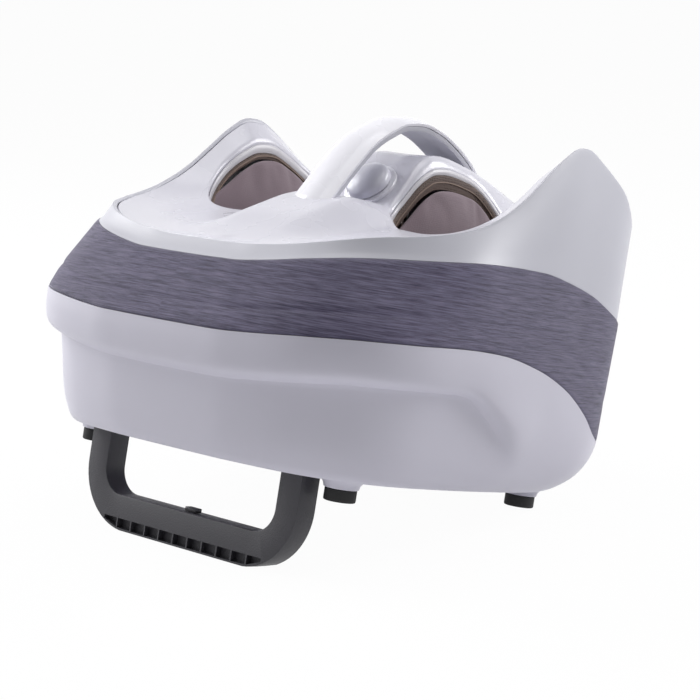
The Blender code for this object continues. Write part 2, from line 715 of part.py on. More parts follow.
def side_rings(extra):
    """Rings of the satin side wall, from the fabric's top edge to the rim."""
    low = level(FABRIC_TOP_FRONT_INSET, FABRIC_TOP_SIDE_INSET, FABRIC_TOP_REAR_INSET,
                lambda x, y: fabric_top(y) + FIT, FABRIC_WALL + extra, FABRIC_TOP_TUCK, FABRIC_TOP_FLARE)
    high = rim_ring(extra)
    rings = []
    for t, toe_pull, heel_pull in SIDE_WALL_SHARES:
        ring = []
        for (_, y), a, b in zip(OUTLINE, low, high):
            pull = toe_pull + (heel_pull - toe_pull) * ease(y)
            ring.append(Vector((a.x + (b.x - a.x) * pull, a.y + (b.y - a.y) * pull, a.z + (b.z - a.z) * t)))
        rings.append(ring)
    return rings


def make_side_collar():
    """Satin side wall that rises into the two wings."""
    outer = side_rings(0)
    inner = side_rings(SHELL_WALL)
    link("side_collar", mesh_from("side_collar", ring_body(outer + inner[::-1])),
         SATIN_WHITE, True)


def make_top_shell():
    """Glossy top with two well openings and the hole for the dial's shaft."""
    edge = rim_ring(SHELL_WALL + TOP_EDGE_GAP)

    def build(bm):
        rows = {}
        for layer, drop in (("top", 0), ("under", DECK_WALL)):
            rows[layer] = []
            for r in range(DECK_RING_COUNT):
                share = 1 - (r / DECK_RING_COUNT) ** DECK_RING_POWER
                row = []
                for p in edge:
                    x, y = p.x * share, MID_Y + (p.y - MID_Y) * share
                    row.append(bm.verts.new((x, y, top_height(x, y) - drop)))
                rows[layer].append(row)
            centre = bm.verts.new((0, MID_Y, top_height(0, MID_Y) - drop))
            count = len(edge)
            for a, b in zip(rows[layer][:-1], rows[layer][1:]):
                for k in range(count):
                    bm.faces.new((a[k], a[(k + 1) % count], b[(k + 1) % count], b[k]))
            last = rows[layer][-1]
            for k in range(count):
                bm.faces.new((last[k], last[(k + 1) % count], centre))
        top, under = rows["top"][0], rows["under"][0]
        for k in range(len(top)):
            bm.faces.new((top[k], top[(k + 1) % len(top)], under[(k + 1) % len(top)], under[k]))

    shell = link("top_shell", mesh_from("top_shell", build), GLOSS_WHITE, True)
    for side, word in ((-1, "left"), (1, "right")):
        low = well_ring(side, 0, flat_at(SOLE_TOP))
        high = well_ring(side, 0, flat_at(HANDLE_TOP))
        combine(shell, "DIFFERENCE", f"top_cut_{word}", stack_body([low, high]))
    seat = DIAL_RADIUS + DIAL_RING_WIDTH + FIT
    reach = DIAL_RADIUS + DIAL_HEIGHT
    combine(shell, "DIFFERENCE", "top_cut_dial",
            turned_body([(seat, -reach), (seat, reach)], FINE_SIDES, dial_matrix()))
    return shell


def make_well(side, word):
    """Lip, mesh strip, padded liner, sole frame, heater and air cushions of one well."""
    lip = [well_ring(side, FIT, deck_at(LIP_DROP)), well_ring(side, FIT, deck_at(0)),
           well_ring(side, LIP_WIDTH / 2, deck_at(-LIP_CROWN)),
           well_ring(side, LIP_WIDTH, deck_at(LIP_CROWN)),
           well_ring(side, LIP_WIDTH, deck_at(LIP_DROP))]
    link(f"well_lip_{word}", mesh_from("well_lip", ring_body(lip)), WARM_WHITE, True)
    out = LIP_WIDTH + FIT
    strip = [well_ring(side, out, deck_at(STRIP_DROP)), well_ring(side, out, deck_at(STRIP_TOP)),
             well_ring(side, out + STRIP_WALL, deck_at(STRIP_TOP)),
             well_ring(side, out + STRIP_WALL, deck_at(STRIP_DROP))]
    link(f"mesh_strip_{word}", mesh_from("mesh_strip", ring_body(strip)), BROWN_MESH, True)
    floor = SOLE_TOP + HEATER_THICK + FIT * 2
    cushion = floor + LINER_WALL

    def tub(inset, height):
        return well_ring(side, inset, height, WELL_TOE_END, TOE_CORNER)

    top = deck_at(LINER_DROP)
    walls = LIP_WIDTH + FIT
    liner = [tub(walls + LINER_BULGE, flat_at(floor)), tub(walls, flat_at(floor + LINER_BULGE)),
             tub(walls, lambda x, y: (floor + top(x, y)) / 2), tub(walls, top),
             tub(walls + LINER_WALL / 2, deck_at(LINER_DROP - LINER_BULGE / 2)),
             tub(walls + LINER_WALL, lambda x, y: top(x, y) - LINER_WALL),
             tub(walls + LINER_WALL + LINER_BULGE, lambda x, y: (cushion + top(x, y)) / 2),
             tub(walls + LINER_WALL, flat_at(cushion + LINER_BULGE)),
             tub(walls + LINER_WALL + LINER_BULGE * 2, flat_at(cushion))]
    link(f"well_liner_{word}", mesh_from("well_liner", stack_body(liner)), MAUVE, True)
    make_sole(side, word)
    make_cushions(side, word)


def make_sole(side, word):
    """Sole frame on four legs, with slots for the rollers, and the heater film on it."""
    def ring(inset, z):
        return well_ring(side, LIP_WIDTH + inset, flat_at(z), WELL_TOE_END, TOE_CORNER)

    frame = link(f"sole_frame_{word}",
                 mesh_from("sole_frame", stack_body([ring(0, SOLE_TOP - SOLE_PLATE), ring(0, SOLE_TOP)])),
                 BLACK_PLASTIC)
    film = link(f"heater_film_{word}",
                mesh_from("heater_film", stack_body([ring(LIP_WIDTH, SOLE_TOP + FIT),
                                                     ring(LIP_WIDTH, SOLE_TOP + FIT + HEATER_THICK)])),
                HEATER_FILM)
    reach = ROLLER_RADIUS + OVERRUN
    half = ROLLER_LENGTH / 2 + OVERRUN
    for at, place in (("front", FRONT_SHAFT_Y), ("rear", REAR_SHAFT_Y)):
        low = (side * WELL_CENTRE - half, place - reach, SOLE_TOP - SOLE_PLATE - OVERRUN)
        high = (side * WELL_CENTRE + half, place + reach, SOLE_TOP + HEATER_THICK + OVERRUN)
        combine(frame, "DIFFERENCE", f"slot_{at}_{word}", box_body(low, high))
        combine(film, "DIFFERENCE", f"film_slot_{at}_{word}", box_body(low, high))
    leg = BLOCK_HEAD / 2
    inner_x = side * (WELL_INNER + SOLE_LEG_INSET + BLOCK_HEAD)
    outer_x = side * (FEET_SPREAD + SOLE_LEG_INSET)
    tray_top = TRAY_ROOF + PLATE_WALL
    plate_top = UNDERSIDE + PLATE_WALL
    toe_y = WELL_TOE_END + TOE_CORNER
    heel_y = WELL_END - WELL_CORNER
    feet = ((inner_x, toe_y, tray_top), (outer_x, toe_y + TOE_CORNER / 2, plate_top),
            (inner_x, heel_y, plate_top), (outer_x - side * BLOCK_HEAD, heel_y, plate_top))
    for number, (x, y, z) in enumerate(feet):
        combine(frame, "UNION", f"leg_{word}_{number}",
                box_body((x - leg, y - leg, z + FIT), (x + leg, y + leg, SOLE_TOP - SOLE_PLATE / 2)))


def make_cushions(side, word):
    """Air cushions: one over the instep, one beside the ankle."""
    def swell(across, along):
        return (1 - abs(across) ** 3) * (1 - (2 * along - 1) ** 4)

    def instep(bm):
        top, low = [], []
        for v in BAG_ALONG_SHARES:
            top_row, low_row = [], []
            y = INSTEP_START + INSTEP_LENGTH * v
            for u in BAG_ACROSS_SHARES:
                x, s = WELL_CENTRE + INSTEP_WIDTH / 2 * u, swell(u, v)
                roof = top_height(x, y) - DECK_WALL - FIT
                full = (INSTEP_THICK - LINER_BULGE * 2) * s
                top_row.append(bm.verts.new((side * x, y, roof - LINER_BULGE * (1 - s))))
                low_row.append(bm.verts.new((side * x, y, roof - LINER_BULGE * 2 - full)))
            top.append(top_row)
            low.append(low_row)
        close_grid(bm, top, low)

    def ankle(bm):
        flat, proud = [], []
        start = WELL_OUTER - LIP_WIDTH
        middle = (FRONT_SHAFT_Y + REAR_SHAFT_Y) / 2
        for u in BAG_ACROSS_SHARES:
            flat_row, proud_row = [], []
            for v in BAG_ALONG_SHARES:
                y, z = middle + BAG_LENGTH / 2 * u, SOLE_TOP + BAG_RISE + BAG_HEIGHT * v
                out = start + LINER_BULGE + (BAG_THICK - LINER_BULGE) * swell(u, v)
                flat_row.append(bm.verts.new((side * (start + FIT), y, z)))
                proud_row.append(bm.verts.new((side * out, y, z)))
            flat.append(flat_row)
            proud.append(proud_row)
        close_grid(bm, flat, proud)

    link(f"instep_cushion_{word}", mesh_from("instep_cushion", instep), PALE_RUBBER, True)
    link(f"ankle_cushion_{word}", mesh_from("ankle_cushion", ankle), PALE_RUBBER, True)


def close_grid(bm, top, low):
    """Faces of two equal grids of vertices and the wall that joins their edges."""
    rows, cols = len(top), len(top[0])
    for grid in (top, low):
        for i in range(rows - 1):
            for j in range(cols - 1):
                bm.faces.new((grid[i][j], grid[i][j + 1], grid[i + 1][j + 1], grid[i + 1][j]))
    path = [(0, j) for j in range(cols)] + [(i, cols - 1) for i in range(1, rows)]
    path += [(rows - 1, j) for j in range(cols - 2, -1, -1)] + [(i, 0) for i in range(rows - 2, 0, -1)]
    for (a, b), (c, d) in zip(path, path[1:] + path[:1]):
        bm.faces.new((top[a][b], top[c][d], low[c][d], low[a][b]))


def handle_path(share):
    """Point of the handle's outer face on the centre line."""
    y = HANDLE_START + HANDLE_LENGTH * share
    return Vector((0, y, curve_at(HANDLE_SHARES, share) * HANDLE_TOP))


def handle_section(share, depth):
    """Point pushed inwards from the handle's outer face along the arch's normal."""
    step = 1 / HANDLE_STATION_COUNT
    ahead = handle_path(min(share + step, 1)) - handle_path(max(share - step, 0))
    normal = Vector((0, -ahead.z, ahead.y)).normalized()
    return handle_path(share) - normal * depth


def strap(outer_depth, inner_depth, half, crown):
    """Rings of a strap along the handle's arch, between two depths."""
    rings = []
    for k in range(HANDLE_STATION_COUNT + 1):
        share = k / HANDLE_STATION_COUNT
        section = [(half * u, handle_section(share, outer_depth + crown * v)) for u, v in HANDLE_CROWN_SHARES]
        inner = handle_section(share, inner_depth)
        section += [(half, inner), (-half, inner)]
        rings.append([Vector((x, p.y, p.z)) for x, p in section])
    return rings


def make_handle():
    """Arched strap over the ridge: an outer cover and a grip half under it."""
    cover = strap(0, HANDLE_COVER_WALL, HANDLE_HALF_WIDTH, HANDLE_CROWN)
    under = HANDLE_COVER_WALL + FIT
    grip = strap(under, under + HANDLE_GRIP_WALL, HANDLE_HALF_WIDTH - HANDLE_EDGE, 0)
    for name, rings, mat in (("handle_cover", cover, GLOSS_WHITE), ("handle_grip", grip, SATIN_WHITE)):
        obj = link(name, mesh_from(name, stack_body(rings)), mat, True)
        combine(obj, "DIFFERENCE", f"{name}_seat", deck_block(FIT))


def deck_block(lift):
    """Solid that fills everything under the ridge, used to seat pieces on it."""
    def build(bm):
        half = HANDLE_HALF_WIDTH + FOOT_RADIUS
        start, length = HANDLE_START - FOOT_RADIUS, HANDLE_LENGTH + FOOT_RADIUS * 2
        xs = [half * (2 * k / BLOCK_COLUMN_COUNT - 1) for k in range(BLOCK_COLUMN_COUNT + 1)]
        ys = [start + length * k / BLOCK_ROW_COUNT for k in range(BLOCK_ROW_COUNT + 1)]
        top = [[bm.verts.new((x, y, top_height(x, y) + lift + RUNNING_GAP)) for x in xs] for y in ys]
        low = [[bm.verts.new((x, y, SOLE_TOP)) for x in xs] for y in ys]
        close_grid(bm, top, low)
    return build


def dial_matrix():
    """Place and lean of the dial's axis on the front slope of the ridge."""
    seat = Vector((0, DIAL_SEAT_Y, top_height(0, DIAL_SEAT_Y)))
    return Matrix.Translation(seat) @ Matrix.Rotation(DIAL_LEAN, 4, "X")


def make_dial():
    """Domed dial on a seated ring, with its shaft running in an encoder below."""
    place = dial_matrix()
    outer = DIAL_RADIUS + DIAL_RING_WIDTH
    shaft_end = DECK_WALL * 2 + RUNNING_GAP
    ring = link("dial_ring", mesh_from("dial_ring", turned_body(
        [(outer, -DECK_WALL), (outer, DIAL_RING_HEIGHT - FIT), (outer - FIT, DIAL_RING_HEIGHT)],
        FINE_SIDES, place)), WARM_WHITE, True)
    bore = DIAL_SHAFT_RADIUS + FIT * 2
    combine(ring, "DIFFERENCE", "ring_bore",
            turned_body([(bore, -shaft_end), (bore, shaft_end)], ROUND_SIDES, place))
    knob_low = DIAL_RING_HEIGHT + RUNNING_GAP
    shoulder = knob_low + DIAL_HEIGHT - DIAL_DOME
    profile = [(DIAL_SHAFT_RADIUS, -shaft_end), (DIAL_SHAFT_RADIUS, knob_low),
               (DIAL_RADIUS - RUNNING_GAP, knob_low), (DIAL_RADIUS, knob_low + OVERRUN)]
    for k in range(DOME_STEP_COUNT):
        a = math.pi / 2 * k / DOME_STEP_COUNT
        profile.append(((DIAL_RADIUS - FIT) * math.cos(a), shoulder + DIAL_DOME * math.sin(a)))
    knob = link("dial_knob", mesh_from("dial_knob", turned_body(profile, FINE_SIDES)), SATIN_WHITE, True)
    knob.matrix_local = place
    top, half = -shaft_end - FIT, ENCODER_SIZE / 2
    link("dial_encoder", mesh_from("dial_encoder", turned_body(
        [(half, top - ENCODER_DEPTH), (half, top)], ENCODER_SIDES, place)), BLACK_PLASTIC)


def make_base_plate():
    """Bottom plate with four foot bosses and the recess for the folded stand."""
    inset = SILL_INSET + RUNNING_GAP
    rings = [level(inset, inset, inset, lambda x, y: UNDERSIDE),
             level(inset, inset, inset, lambda x, y: UNDERSIDE + PLATE_WALL)]
    plate = link("base_plate", mesh_from("base_plate", stack_body(rings)), LILAC_WHITE, True)
    front, out = STAND_FRONT - FIT, TRAY_HALF + PLATE_WALL
    shell = box_body((-out, front - PLATE_WALL, UNDERSIDE),
                     (out, TRAY_END + PLATE_WALL, TRAY_ROOF + PLATE_WALL))
    combine(plate, "UNION", "tray_walls", shell)
    for name, x, y in foot_places():
        taper = [(FOOT_RADIUS, FOOT_HEIGHT + FIT), (BOSS_RADIUS, UNDERSIDE + PLATE_WALL / 2)]
        combine(plate, "UNION", f"boss_{name}",
                turned_body(taper, ROUND_SIDES, Matrix.Translation((x, y, 0))))
    combine(plate, "DIFFERENCE", "tray_hollow",
            box_body((-TRAY_HALF, front, FOOT_HEIGHT / 2), (TRAY_HALF, TRAY_END, TRAY_ROOF)))
    for side, word in ((-1, "left"), (1, "right")):
        x = side * (TRAY_HALF + PLATE_WALL / 2)
        combine(plate, "DIFFERENCE", f"pin_bore_{word}",
                rod(STAND_PIN_RADIUS + FIT, PLATE_WALL, along_x((x, STAND_MID_Y, STAND_AXIS_Z))))


def foot_places():
    """Names and places of the four rubber feet."""
    return (("toe_left", -FEET_SPREAD, 0), ("toe_right", FEET_SPREAD, 0),
            ("heel_left", -FEET_SPREAD, FEET_SPACING), ("heel_right", FEET_SPREAD, FEET_SPACING))


def make_feet():
    """Four round rubber feet."""
    for name, x, y in foot_places():
        profile = [(FOOT_RADIUS - FOOT_CHAMFER, 0), (FOOT_RADIUS, FOOT_CHAMFER), (FOOT_RADIUS, FOOT_HEIGHT)]
        link(f"rubber_foot_{name}", mesh_from("rubber_foot", turned_body(
            profile, ROUND_SIDES, Matrix.Translation((x, y, 0)))), BLACK_RUBBER, True)


def stand_loop(half, bottom, corner):
    """Points of a U-shaped edge of the stand, from the left hinge to the right one."""
    pts = [(-half, 0)]
    for side, start in ((-1, math.pi), (1, -math.pi / 2)):
        for k in range(STAND_CORNER_STEP_COUNT + 1):
            a = start + math.pi / 2 * k / STAND_CORNER_STEP_COUNT
            pts.append((side * (half - corner) + corner * math.cos(a),
                        bottom + corner + corner * math.sin(a)))
    pts.append((half, 0))
    return pts


def shape_stand(stand, operation, name, build):
    """Shape the stand with a cutter that hangs on it."""
    combine(stand, operation, name, build).object.parent = stand


def make_stand():
    """Fold-out stand: a U loop with a ribbed bar, hinged on two pins."""
    low = -STAND_AXIS_Z - STAND_DROP
    outer = stand_loop(STAND_HALF_WIDTH, low, STAND_OUTER_CORNER)
    inner = stand_loop(STAND_HALF_WIDTH - STAND_LEG, low + STAND_BAR, STAND_INNER_CORNER)
    half = STAND_THICK / 2

    def build(bm):
        front, back = [[[bm.verts.new((x, y, z)) for x, z in loop] for loop in (outer, inner)]
                       for y in (-half, half)]
        count = len(outer)
        for k in range(count - 1):
            for o, i in (front, back):
                bm.faces.new((o[k], o[k + 1], i[k + 1], i[k]))
            for a, b in zip(front, back):
                bm.faces.new((a[k], a[k + 1], b[k + 1], b[k]))
        for k in (0, count - 1):
            bm.faces.new((front[0][k], back[0][k], back[1][k], front[1][k]))

    stand = link("stand", mesh_from("stand", build), CHARCOAL, True)
    stand.location = (0, STAND_MID_Y, STAND_AXIS_Z)
    middle = STAND_HALF_WIDTH - STAND_LEG / 2
    for side, word in ((-1, "left"), (1, "right")):
        shape_stand(stand, "UNION", f"hub_{word}",
                    rod(half - FIT, STAND_LEG / 2 - FIT, along_x((side * middle, 0, 0))))
        x = side * (STAND_HALF_WIDTH - STAND_PIN_REACH / 2 + OVERRUN / 2)
        shape_stand(stand, "DIFFERENCE", f"hub_bore_{word}",
                    rod(STAND_PIN_RADIUS + FIT, (STAND_PIN_REACH + OVERRUN) / 2 + FIT, along_x((x, 0, 0))))
    shape_stand(stand, "DIFFERENCE", "ground_cut", ground_cut())
    row = STAND_HALF_WIDTH - STAND_OUTER_CORNER * POCKET_ROW_SHARE
    pitch = (2 * row - POCKET_RIB) / POCKET_COUNT
    for k in range(POCKET_COUNT):
        x = -row + POCKET_RIB + pitch * k
        shape_stand(stand, "DIFFERENCE", f"pocket_{k}", box_body(
            (x, -half - OVERRUN, low + OVERRUN),
            (x + pitch - POCKET_RIB, -half + POCKET_DEPTH, low + POCKET_HEIGHT)))
    bar_top = low + STAND_BAR
    link("stand_latch", mesh_from("stand_latch", box_body(
        (-LATCH_LENGTH / 2, -LATCH_HEIGHT, bar_top + FIT),
        (LATCH_LENGTH / 2, LATCH_HEIGHT, bar_top + LATCH_HEIGHT), RUNNING_GAP)), CHARCOAL, parent=stand)
    for side, word in ((-1, "left"), (1, "right")):
        length = STAND_PIN_REACH + STAND_SWING_GAP + PLATE_WALL
        x = side * (STAND_HALF_WIDTH - STAND_PIN_REACH + length / 2)
        link(f"stand_pin_{word}", mesh_from("stand_pin", rod(
            STAND_PIN_RADIUS, length / 2, along_x((x, STAND_MID_Y, STAND_AXIS_Z)))), STEEL, True)


def ground_cut():
    """Wedge under the stand's bar, so that the bar lies flat when the machine leans."""
    def build(bm):
        half = STAND_THICK / 2
        x = STAND_HALF_WIDTH + OVERRUN
        low = -STAND_AXIS_Z - STAND_DROP
        slope = math.tan(TILT)
        corners = [(-half - OVERRUN, low - STAND_BAR), (half + OVERRUN, low - STAND_BAR),
                   (half + OVERRUN, low + slope * (STAND_THICK + OVERRUN)),
                   (-half - OVERRUN, low - slope * OVERRUN)]
        left, right = [[bm.verts.new((end, y, z)) for y, z in corners] for end in (-x, x)]
        for a, b in zip(range(len(corners)), [*range(1, len(corners)), 0]):
            bm.faces.new((left[a], left[b], right[b], right[a]))
        bm.faces.new(left)
        bm.faces.new(right)
    return build


def gear_ring(radius, tooth, count, z):
    """Ring of a gear's outline with straight-sided teeth."""
    pts = []
    for k in range(count):
        for part, height in TOOTH_SHARES:
            a = math.tau * (k + part) / count
            r = radius - tooth * (1 - height)
            pts.append(Vector((r * math.cos(a), r * math.sin(a), z)))
    return pts


def roller_ring(share):
    """Ring of a lobed roller at a share of its length."""
    pts = []
    count = ROLLER_LOBES * LOBE_POINT_COUNT
    margin = ROLLER_END_SHARE
    swell = math.sin(math.pi * (margin + (1 - 2 * margin) * share))
    for k in range(count):
        a = math.tau * k / count + ROLLER_TWIST * share
        lobe = (1 + math.cos(math.tau * k / LOBE_POINT_COUNT)) / 2
        r = ROLLER_CORE + (ROLLER_RADIUS - ROLLER_CORE) * swell * lobe
        pts.append(Vector((r * math.cos(a), r * math.sin(a), ROLLER_LENGTH * (share - 1 / 2))))
    return pts


def cut_bore(obj, name, radius, half_length, matrix, parent=None):
    """Cut a round bore, with its cutter hung on the piece where that one turns."""
    mod = combine(obj, "DIFFERENCE", name, rod(radius, half_length, matrix))
    if parent:
        mod.object.parent = parent


def make_cross_shaft(word, place):
    """Cross shaft with its worm wheel and two lobed rollers, carried in two bearing blocks."""
    level_x = along_x((0, 0, 0))
    bore = SHAFT_RADIUS + FIT
    shaft = link(f"{word}_shaft", mesh_from("cross_shaft", rod(SHAFT_RADIUS, SHAFT_HALF, level_x)),
                 STEEL, True)
    shaft.location = (0, place, DRIVE_AXIS_Z)

    def laid(rings):
        return stack_body([[level_x @ p for p in ring] for ring in rings])

    faces = [gear_ring(WHEEL_RADIUS, WHEEL_TOOTH, WHEEL_TEETH, z)
             for z in (-WHEEL_WIDTH / 2, WHEEL_WIDTH / 2)]
    wheel = link(f"{word}_worm_wheel", mesh_from("worm_wheel", laid(faces)), ACETAL, parent=shaft)
    cut_bore(wheel, f"{word}_wheel_bore", bore, WHEEL_WIDTH, level_x, wheel)
    for side, hand in ((-1, "left"), (1, "right")):
        rings = [roller_ring(k / ROLLER_RING_COUNT) for k in range(ROLLER_RING_COUNT + 1)]
        roller = link(f"{word}_roller_{hand}", mesh_from("roller", laid(rings)), PALE_RUBBER, True, shaft)
        roller.location = (side * WELL_CENTRE, 0, 0)
        cut_bore(roller, f"{word}_roller_bore_{hand}", bore, ROLLER_LENGTH, level_x, roller)
        x = side * BEARING_CENTRE
        low = (x - BEARING_WIDTH / 2, place - BLOCK_WIDTH / 2, PLATE_FLOOR)
        high = (x + BEARING_WIDTH / 2, place + BLOCK_WIDTH / 2, DRIVE_AXIS_Z + BLOCK_HEAD)
        block = link(f"{word}_bearing_block_{hand}",
                     mesh_from("bearing_block", box_body(low, high, RUNNING_GAP)), CHARCOAL)
        cut_bore(block, f"{word}_block_bore_{hand}", bore, BEARING_WIDTH, along_x((x, place, DRIVE_AXIS_Z)))


def make_worm():
    """Worm shaft with a threaded stretch over each worm wheel."""
    start = FRONT_SHAFT_Y - CASE_MARGIN - MOTOR_COLLAR
    end = REAR_SHAFT_Y + CASE_MARGIN - CASE_END_WALL / 2
    profile = [(WORM_SHAFT_RADIUS, 0)]
    for place in (FRONT_SHAFT_Y, REAR_SHAFT_Y):
        low = place - start - WORM_PITCH * WORM_TURNS / 2
        profile.append((WORM_SHAFT_RADIUS, low - FIT))
        for k in range(WORM_TURNS):
            at = low + WORM_PITCH * k
            profile.append((WORM_RADIUS - WORM_THREAD, at))
            profile += [(WORM_RADIUS, at + WORM_PITCH * share) for share in CREST_SHARES]
        profile.append((WORM_SHAFT_RADIUS, low + WORM_PITCH * WORM_TURNS + FIT))
    profile.append((WORM_SHAFT_RADIUS, end - start))
    worm = link("worm_shaft", mesh_from("worm_shaft", turned_body(profile, WORM_SIDES, along_y((0, 0, 0)))),
                STEEL, True)
    worm.location = (0, start, WORM_AXIS_Z)


def make_gear_case():
    """Open gear case with its lid, and the bushes that carry the worm shaft."""
    y0, y1 = FRONT_SHAFT_Y - CASE_MARGIN, REAR_SHAFT_Y + CASE_MARGIN
    floor, top, half = PLATE_FLOOR, CASE_TOP, CASE_HALF_WIDTH
    case = link("gear_case", mesh_from("gear_case", box_body((-half, y0, floor), (half, y1, top))),
                BLACK_PLASTIC)
    inner = half - CASE_WALL
    combine(case, "DIFFERENCE", "case_hollow", box_body(
        (-inner, y0 + CASE_END_WALL, floor + PLATE_WALL), (inner, y1 - CASE_END_WALL, top + OVERRUN)))
    for word, place in (("front", FRONT_SHAFT_Y), ("rear", REAR_SHAFT_Y)):
        cut_bore(case, f"case_bore_{word}", SHAFT_RADIUS + FIT, half + OVERRUN,
                 along_x((0, place, DRIVE_AXIS_Z)))
    for word, place in (("front", y0), ("rear", y1 - CASE_END_WALL)):
        middle = along_y((0, place + CASE_END_WALL / 2, WORM_AXIS_Z))
        cut_bore(case, f"case_bush_{word}", BUSH_RADIUS + FIT, CASE_END_WALL, middle)
        bush = link(f"{word}_worm_bush", mesh_from("worm_bush", rod(BUSH_RADIUS, CASE_END_WALL / 2, middle)),
                    BRASS, True)
        cut_bore(bush, f"{word}_bush_bore", WORM_SHAFT_RADIUS + FIT, CASE_END_WALL, middle)
    link("gear_case_lid", mesh_from("gear_case_lid", box_body(
        (-half, y0, top + FIT), (half, y1, top + FIT + PLATE_WALL), RUNNING_GAP)), BLACK_PLASTIC)


def make_motor():
    """Motor ahead of the gear case, lying in a cradle on the recess's roof."""
    nose = FRONT_SHAFT_Y - CASE_MARGIN - MOTOR_COLLAR - RUNNING_GAP
    profile = [(MOTOR_RADIUS / 2, -MOTOR_LENGTH - FOOT_CHAMFER), (MOTOR_RADIUS, -MOTOR_LENGTH),
               (MOTOR_RADIUS, -FOOT_CHAMFER), (MOTOR_RADIUS - FOOT_CHAMFER, 0), (BUSH_RADIUS, 0),
               (BUSH_RADIUS, MOTOR_COLLAR / 2)]
    place = along_y((0, nose, WORM_AXIS_Z))
    motor = link("motor", mesh_from("motor", turned_body(profile, ROUND_SIDES, place)), STEEL, True)
    cut_bore(motor, "motor_bore", WORM_SHAFT_RADIUS + FIT, MOTOR_COLLAR * 2, place)
    middle = nose - MOTOR_LENGTH / 2
    low = TRAY_ROOF + PLATE_WALL + FIT
    half = MOTOR_RADIUS + MOTOR_CRADLE_WALL
    cradle = link("motor_cradle", mesh_from("motor_cradle", box_body(
        (-half, middle - MOTOR_CRADLE_LENGTH / 2, low),
        (half, middle + MOTOR_CRADLE_LENGTH / 2, WORM_AXIS_Z))), BLACK_PLASTIC)
    cut_bore(cradle, "cradle_seat", MOTOR_RADIUS + FIT, MOTOR_CRADLE_LENGTH,
             along_y((0, middle, WORM_AXIS_Z)))


def make_air():
    """Air pump and valve block behind the gear case, with hoses to the ankle cushions."""
    mid = PUMP_START + PUMP_DEPTH / 2
    half, high = PUMP_WIDTH / 2, PLATE_FLOOR + PUMP_HEIGHT
    link("air_pump", mesh_from("air_pump", box_body(
        (-half, PUMP_START, PLATE_FLOOR), (half, PUMP_START + PUMP_DEPTH, high), OVERRUN)), BLACK_PLASTIC)
    base = high + FIT
    top = base + VALVE_HEIGHT
    link("valve_block", mesh_from("valve_block", box_body(
        (-VALVE_WIDTH / 2, mid - VALVE_DEPTH / 2, base), (VALVE_WIDTH / 2, mid + VALVE_DEPTH / 2, top),
        RUNNING_GAP)), ACETAL)
    step = HOSE_RADIUS * 2
    bag_z = SOLE_TOP + BAG_RISE + BAG_HEIGHT / 3
    heel = WELL_END + HOSE_RADIUS
    for side, word in ((-1, "left"), (1, "right")):
        x = side * VALVE_WIDTH / 4
        away = side * (WELL_INNER - step)
        hose(f"air_hose_{word}", [
            (x, mid, top + FIT), (x, mid, top + step), (x, mid, top + step * 2),
            ((x + away * 2) / 3, mid + step * 2, top + step * 4), (away, mid + step * 4, bag_z),
            (side * WELL_CENTRE * HOSE_BEND_SHARE, heel, bag_z + step),
            (side * WELL_CENTRE, heel, bag_z + step)])


def hose(name, points):
    """Round hose along a smooth curve, with filled ends."""
    route = catmull(points, HOSE_STEP_COUNT)
    data = bpy.data.curves.new(name, "CURVE")
    data.dimensions = "3D"
    spline = data.splines.new("POLY")
    spline.points.add(len(route) - 1)
    for target, p in zip(spline.points, route):
        target.co = (*p, 1)
    data.bevel_depth = HOSE_RADIUS
    data.bevel_resolution = 2
    data.use_fill_caps = True
    obj = bpy.data.objects.new(name, data)
    bpy.context.collection.objects.link(obj)
    data.materials.append(PALE_RUBBER)
    obj.parent = ROOT


def make_board(name, corner, length, base, chip):
    """Circuit board on four posts, with one large chip in its middle."""
    x0, y0 = corner
    x1, y1 = x0 + BOARD_WIDTH, y0 + length
    low = base + BOARD_POST
    middle_z = low + BOARD_THICK / 2
    board = link(name, mesh_from(name, box_body((x0, y0, low), (x1, y1, low + BOARD_THICK))), BOARD_GREEN)
    for k, x in enumerate((x0 + BOARD_EDGE, x1 - BOARD_EDGE - BOARD_POST)):
        for j, y in enumerate((y0 + BOARD_EDGE, y1 - BOARD_EDGE - BOARD_POST)):
            combine(board, "UNION", f"{name}_post_{k}_{j}",
                    box_body((x, y, base), (x + BOARD_POST, y + BOARD_POST, middle_z)))
    mx, my = (x0 + x1) / 2, (y0 + y1) / 2
    combine(board, "UNION", f"{name}_chip", box_body(
        (mx - chip, my - chip, middle_z), (mx + chip, my + chip, low + BOARD_THICK + CHIP_HEIGHT)))


def make_electrics():
    """Control board on the gear case's lid and power board on the plate."""
    make_board("control_board", (-BOARD_WIDTH / 2, FRONT_SHAFT_Y), BOARD_LENGTH,
               CASE_TOP + FIT * 2 + PLATE_WALL, CHIP_HEIGHT * 2)
    middle = (FRONT_SHAFT_Y + REAR_SHAFT_Y) / 2
    make_board("power_board", (WELL_CENTRE - BOARD_WIDTH / 2, middle - POWER_LENGTH / 2), POWER_LENGTH,
               PLATE_FLOOR, CHIP_HEIGHT)


def inlet_box(grow, front, rear):
    """Box round the power inlet between two places along the body."""
    half, middle = INLET_WIDTH / 2 + grow, INLET_CENTRE_Z
    rise = INLET_HEIGHT / 2 + grow
    return box_body((-half, front, middle - rise), (half, rear, middle + rise))


def make_inlet(shells):
    """Power inlet at the heel side, and its opening in the pieces that it passes through."""
    front = REAR_Y - INLET_DEPTH
    inlet = link("power_inlet", mesh_from("power_inlet", inlet_box(0, front, REAR_Y + FIT)), BLACK_PLASTIC)
    combine(inlet, "DIFFERENCE", "inlet_mouth",
            inlet_box(-INLET_FLANGE, front + INLET_FLANGE, REAR_Y + OVERRUN))
    for shell in shells:
        combine(shell, "DIFFERENCE", f"inlet_opening_{shell.name}",
                inlet_box(FIT, front - INLET_DEPTH, REAR_Y + OVERRUN))


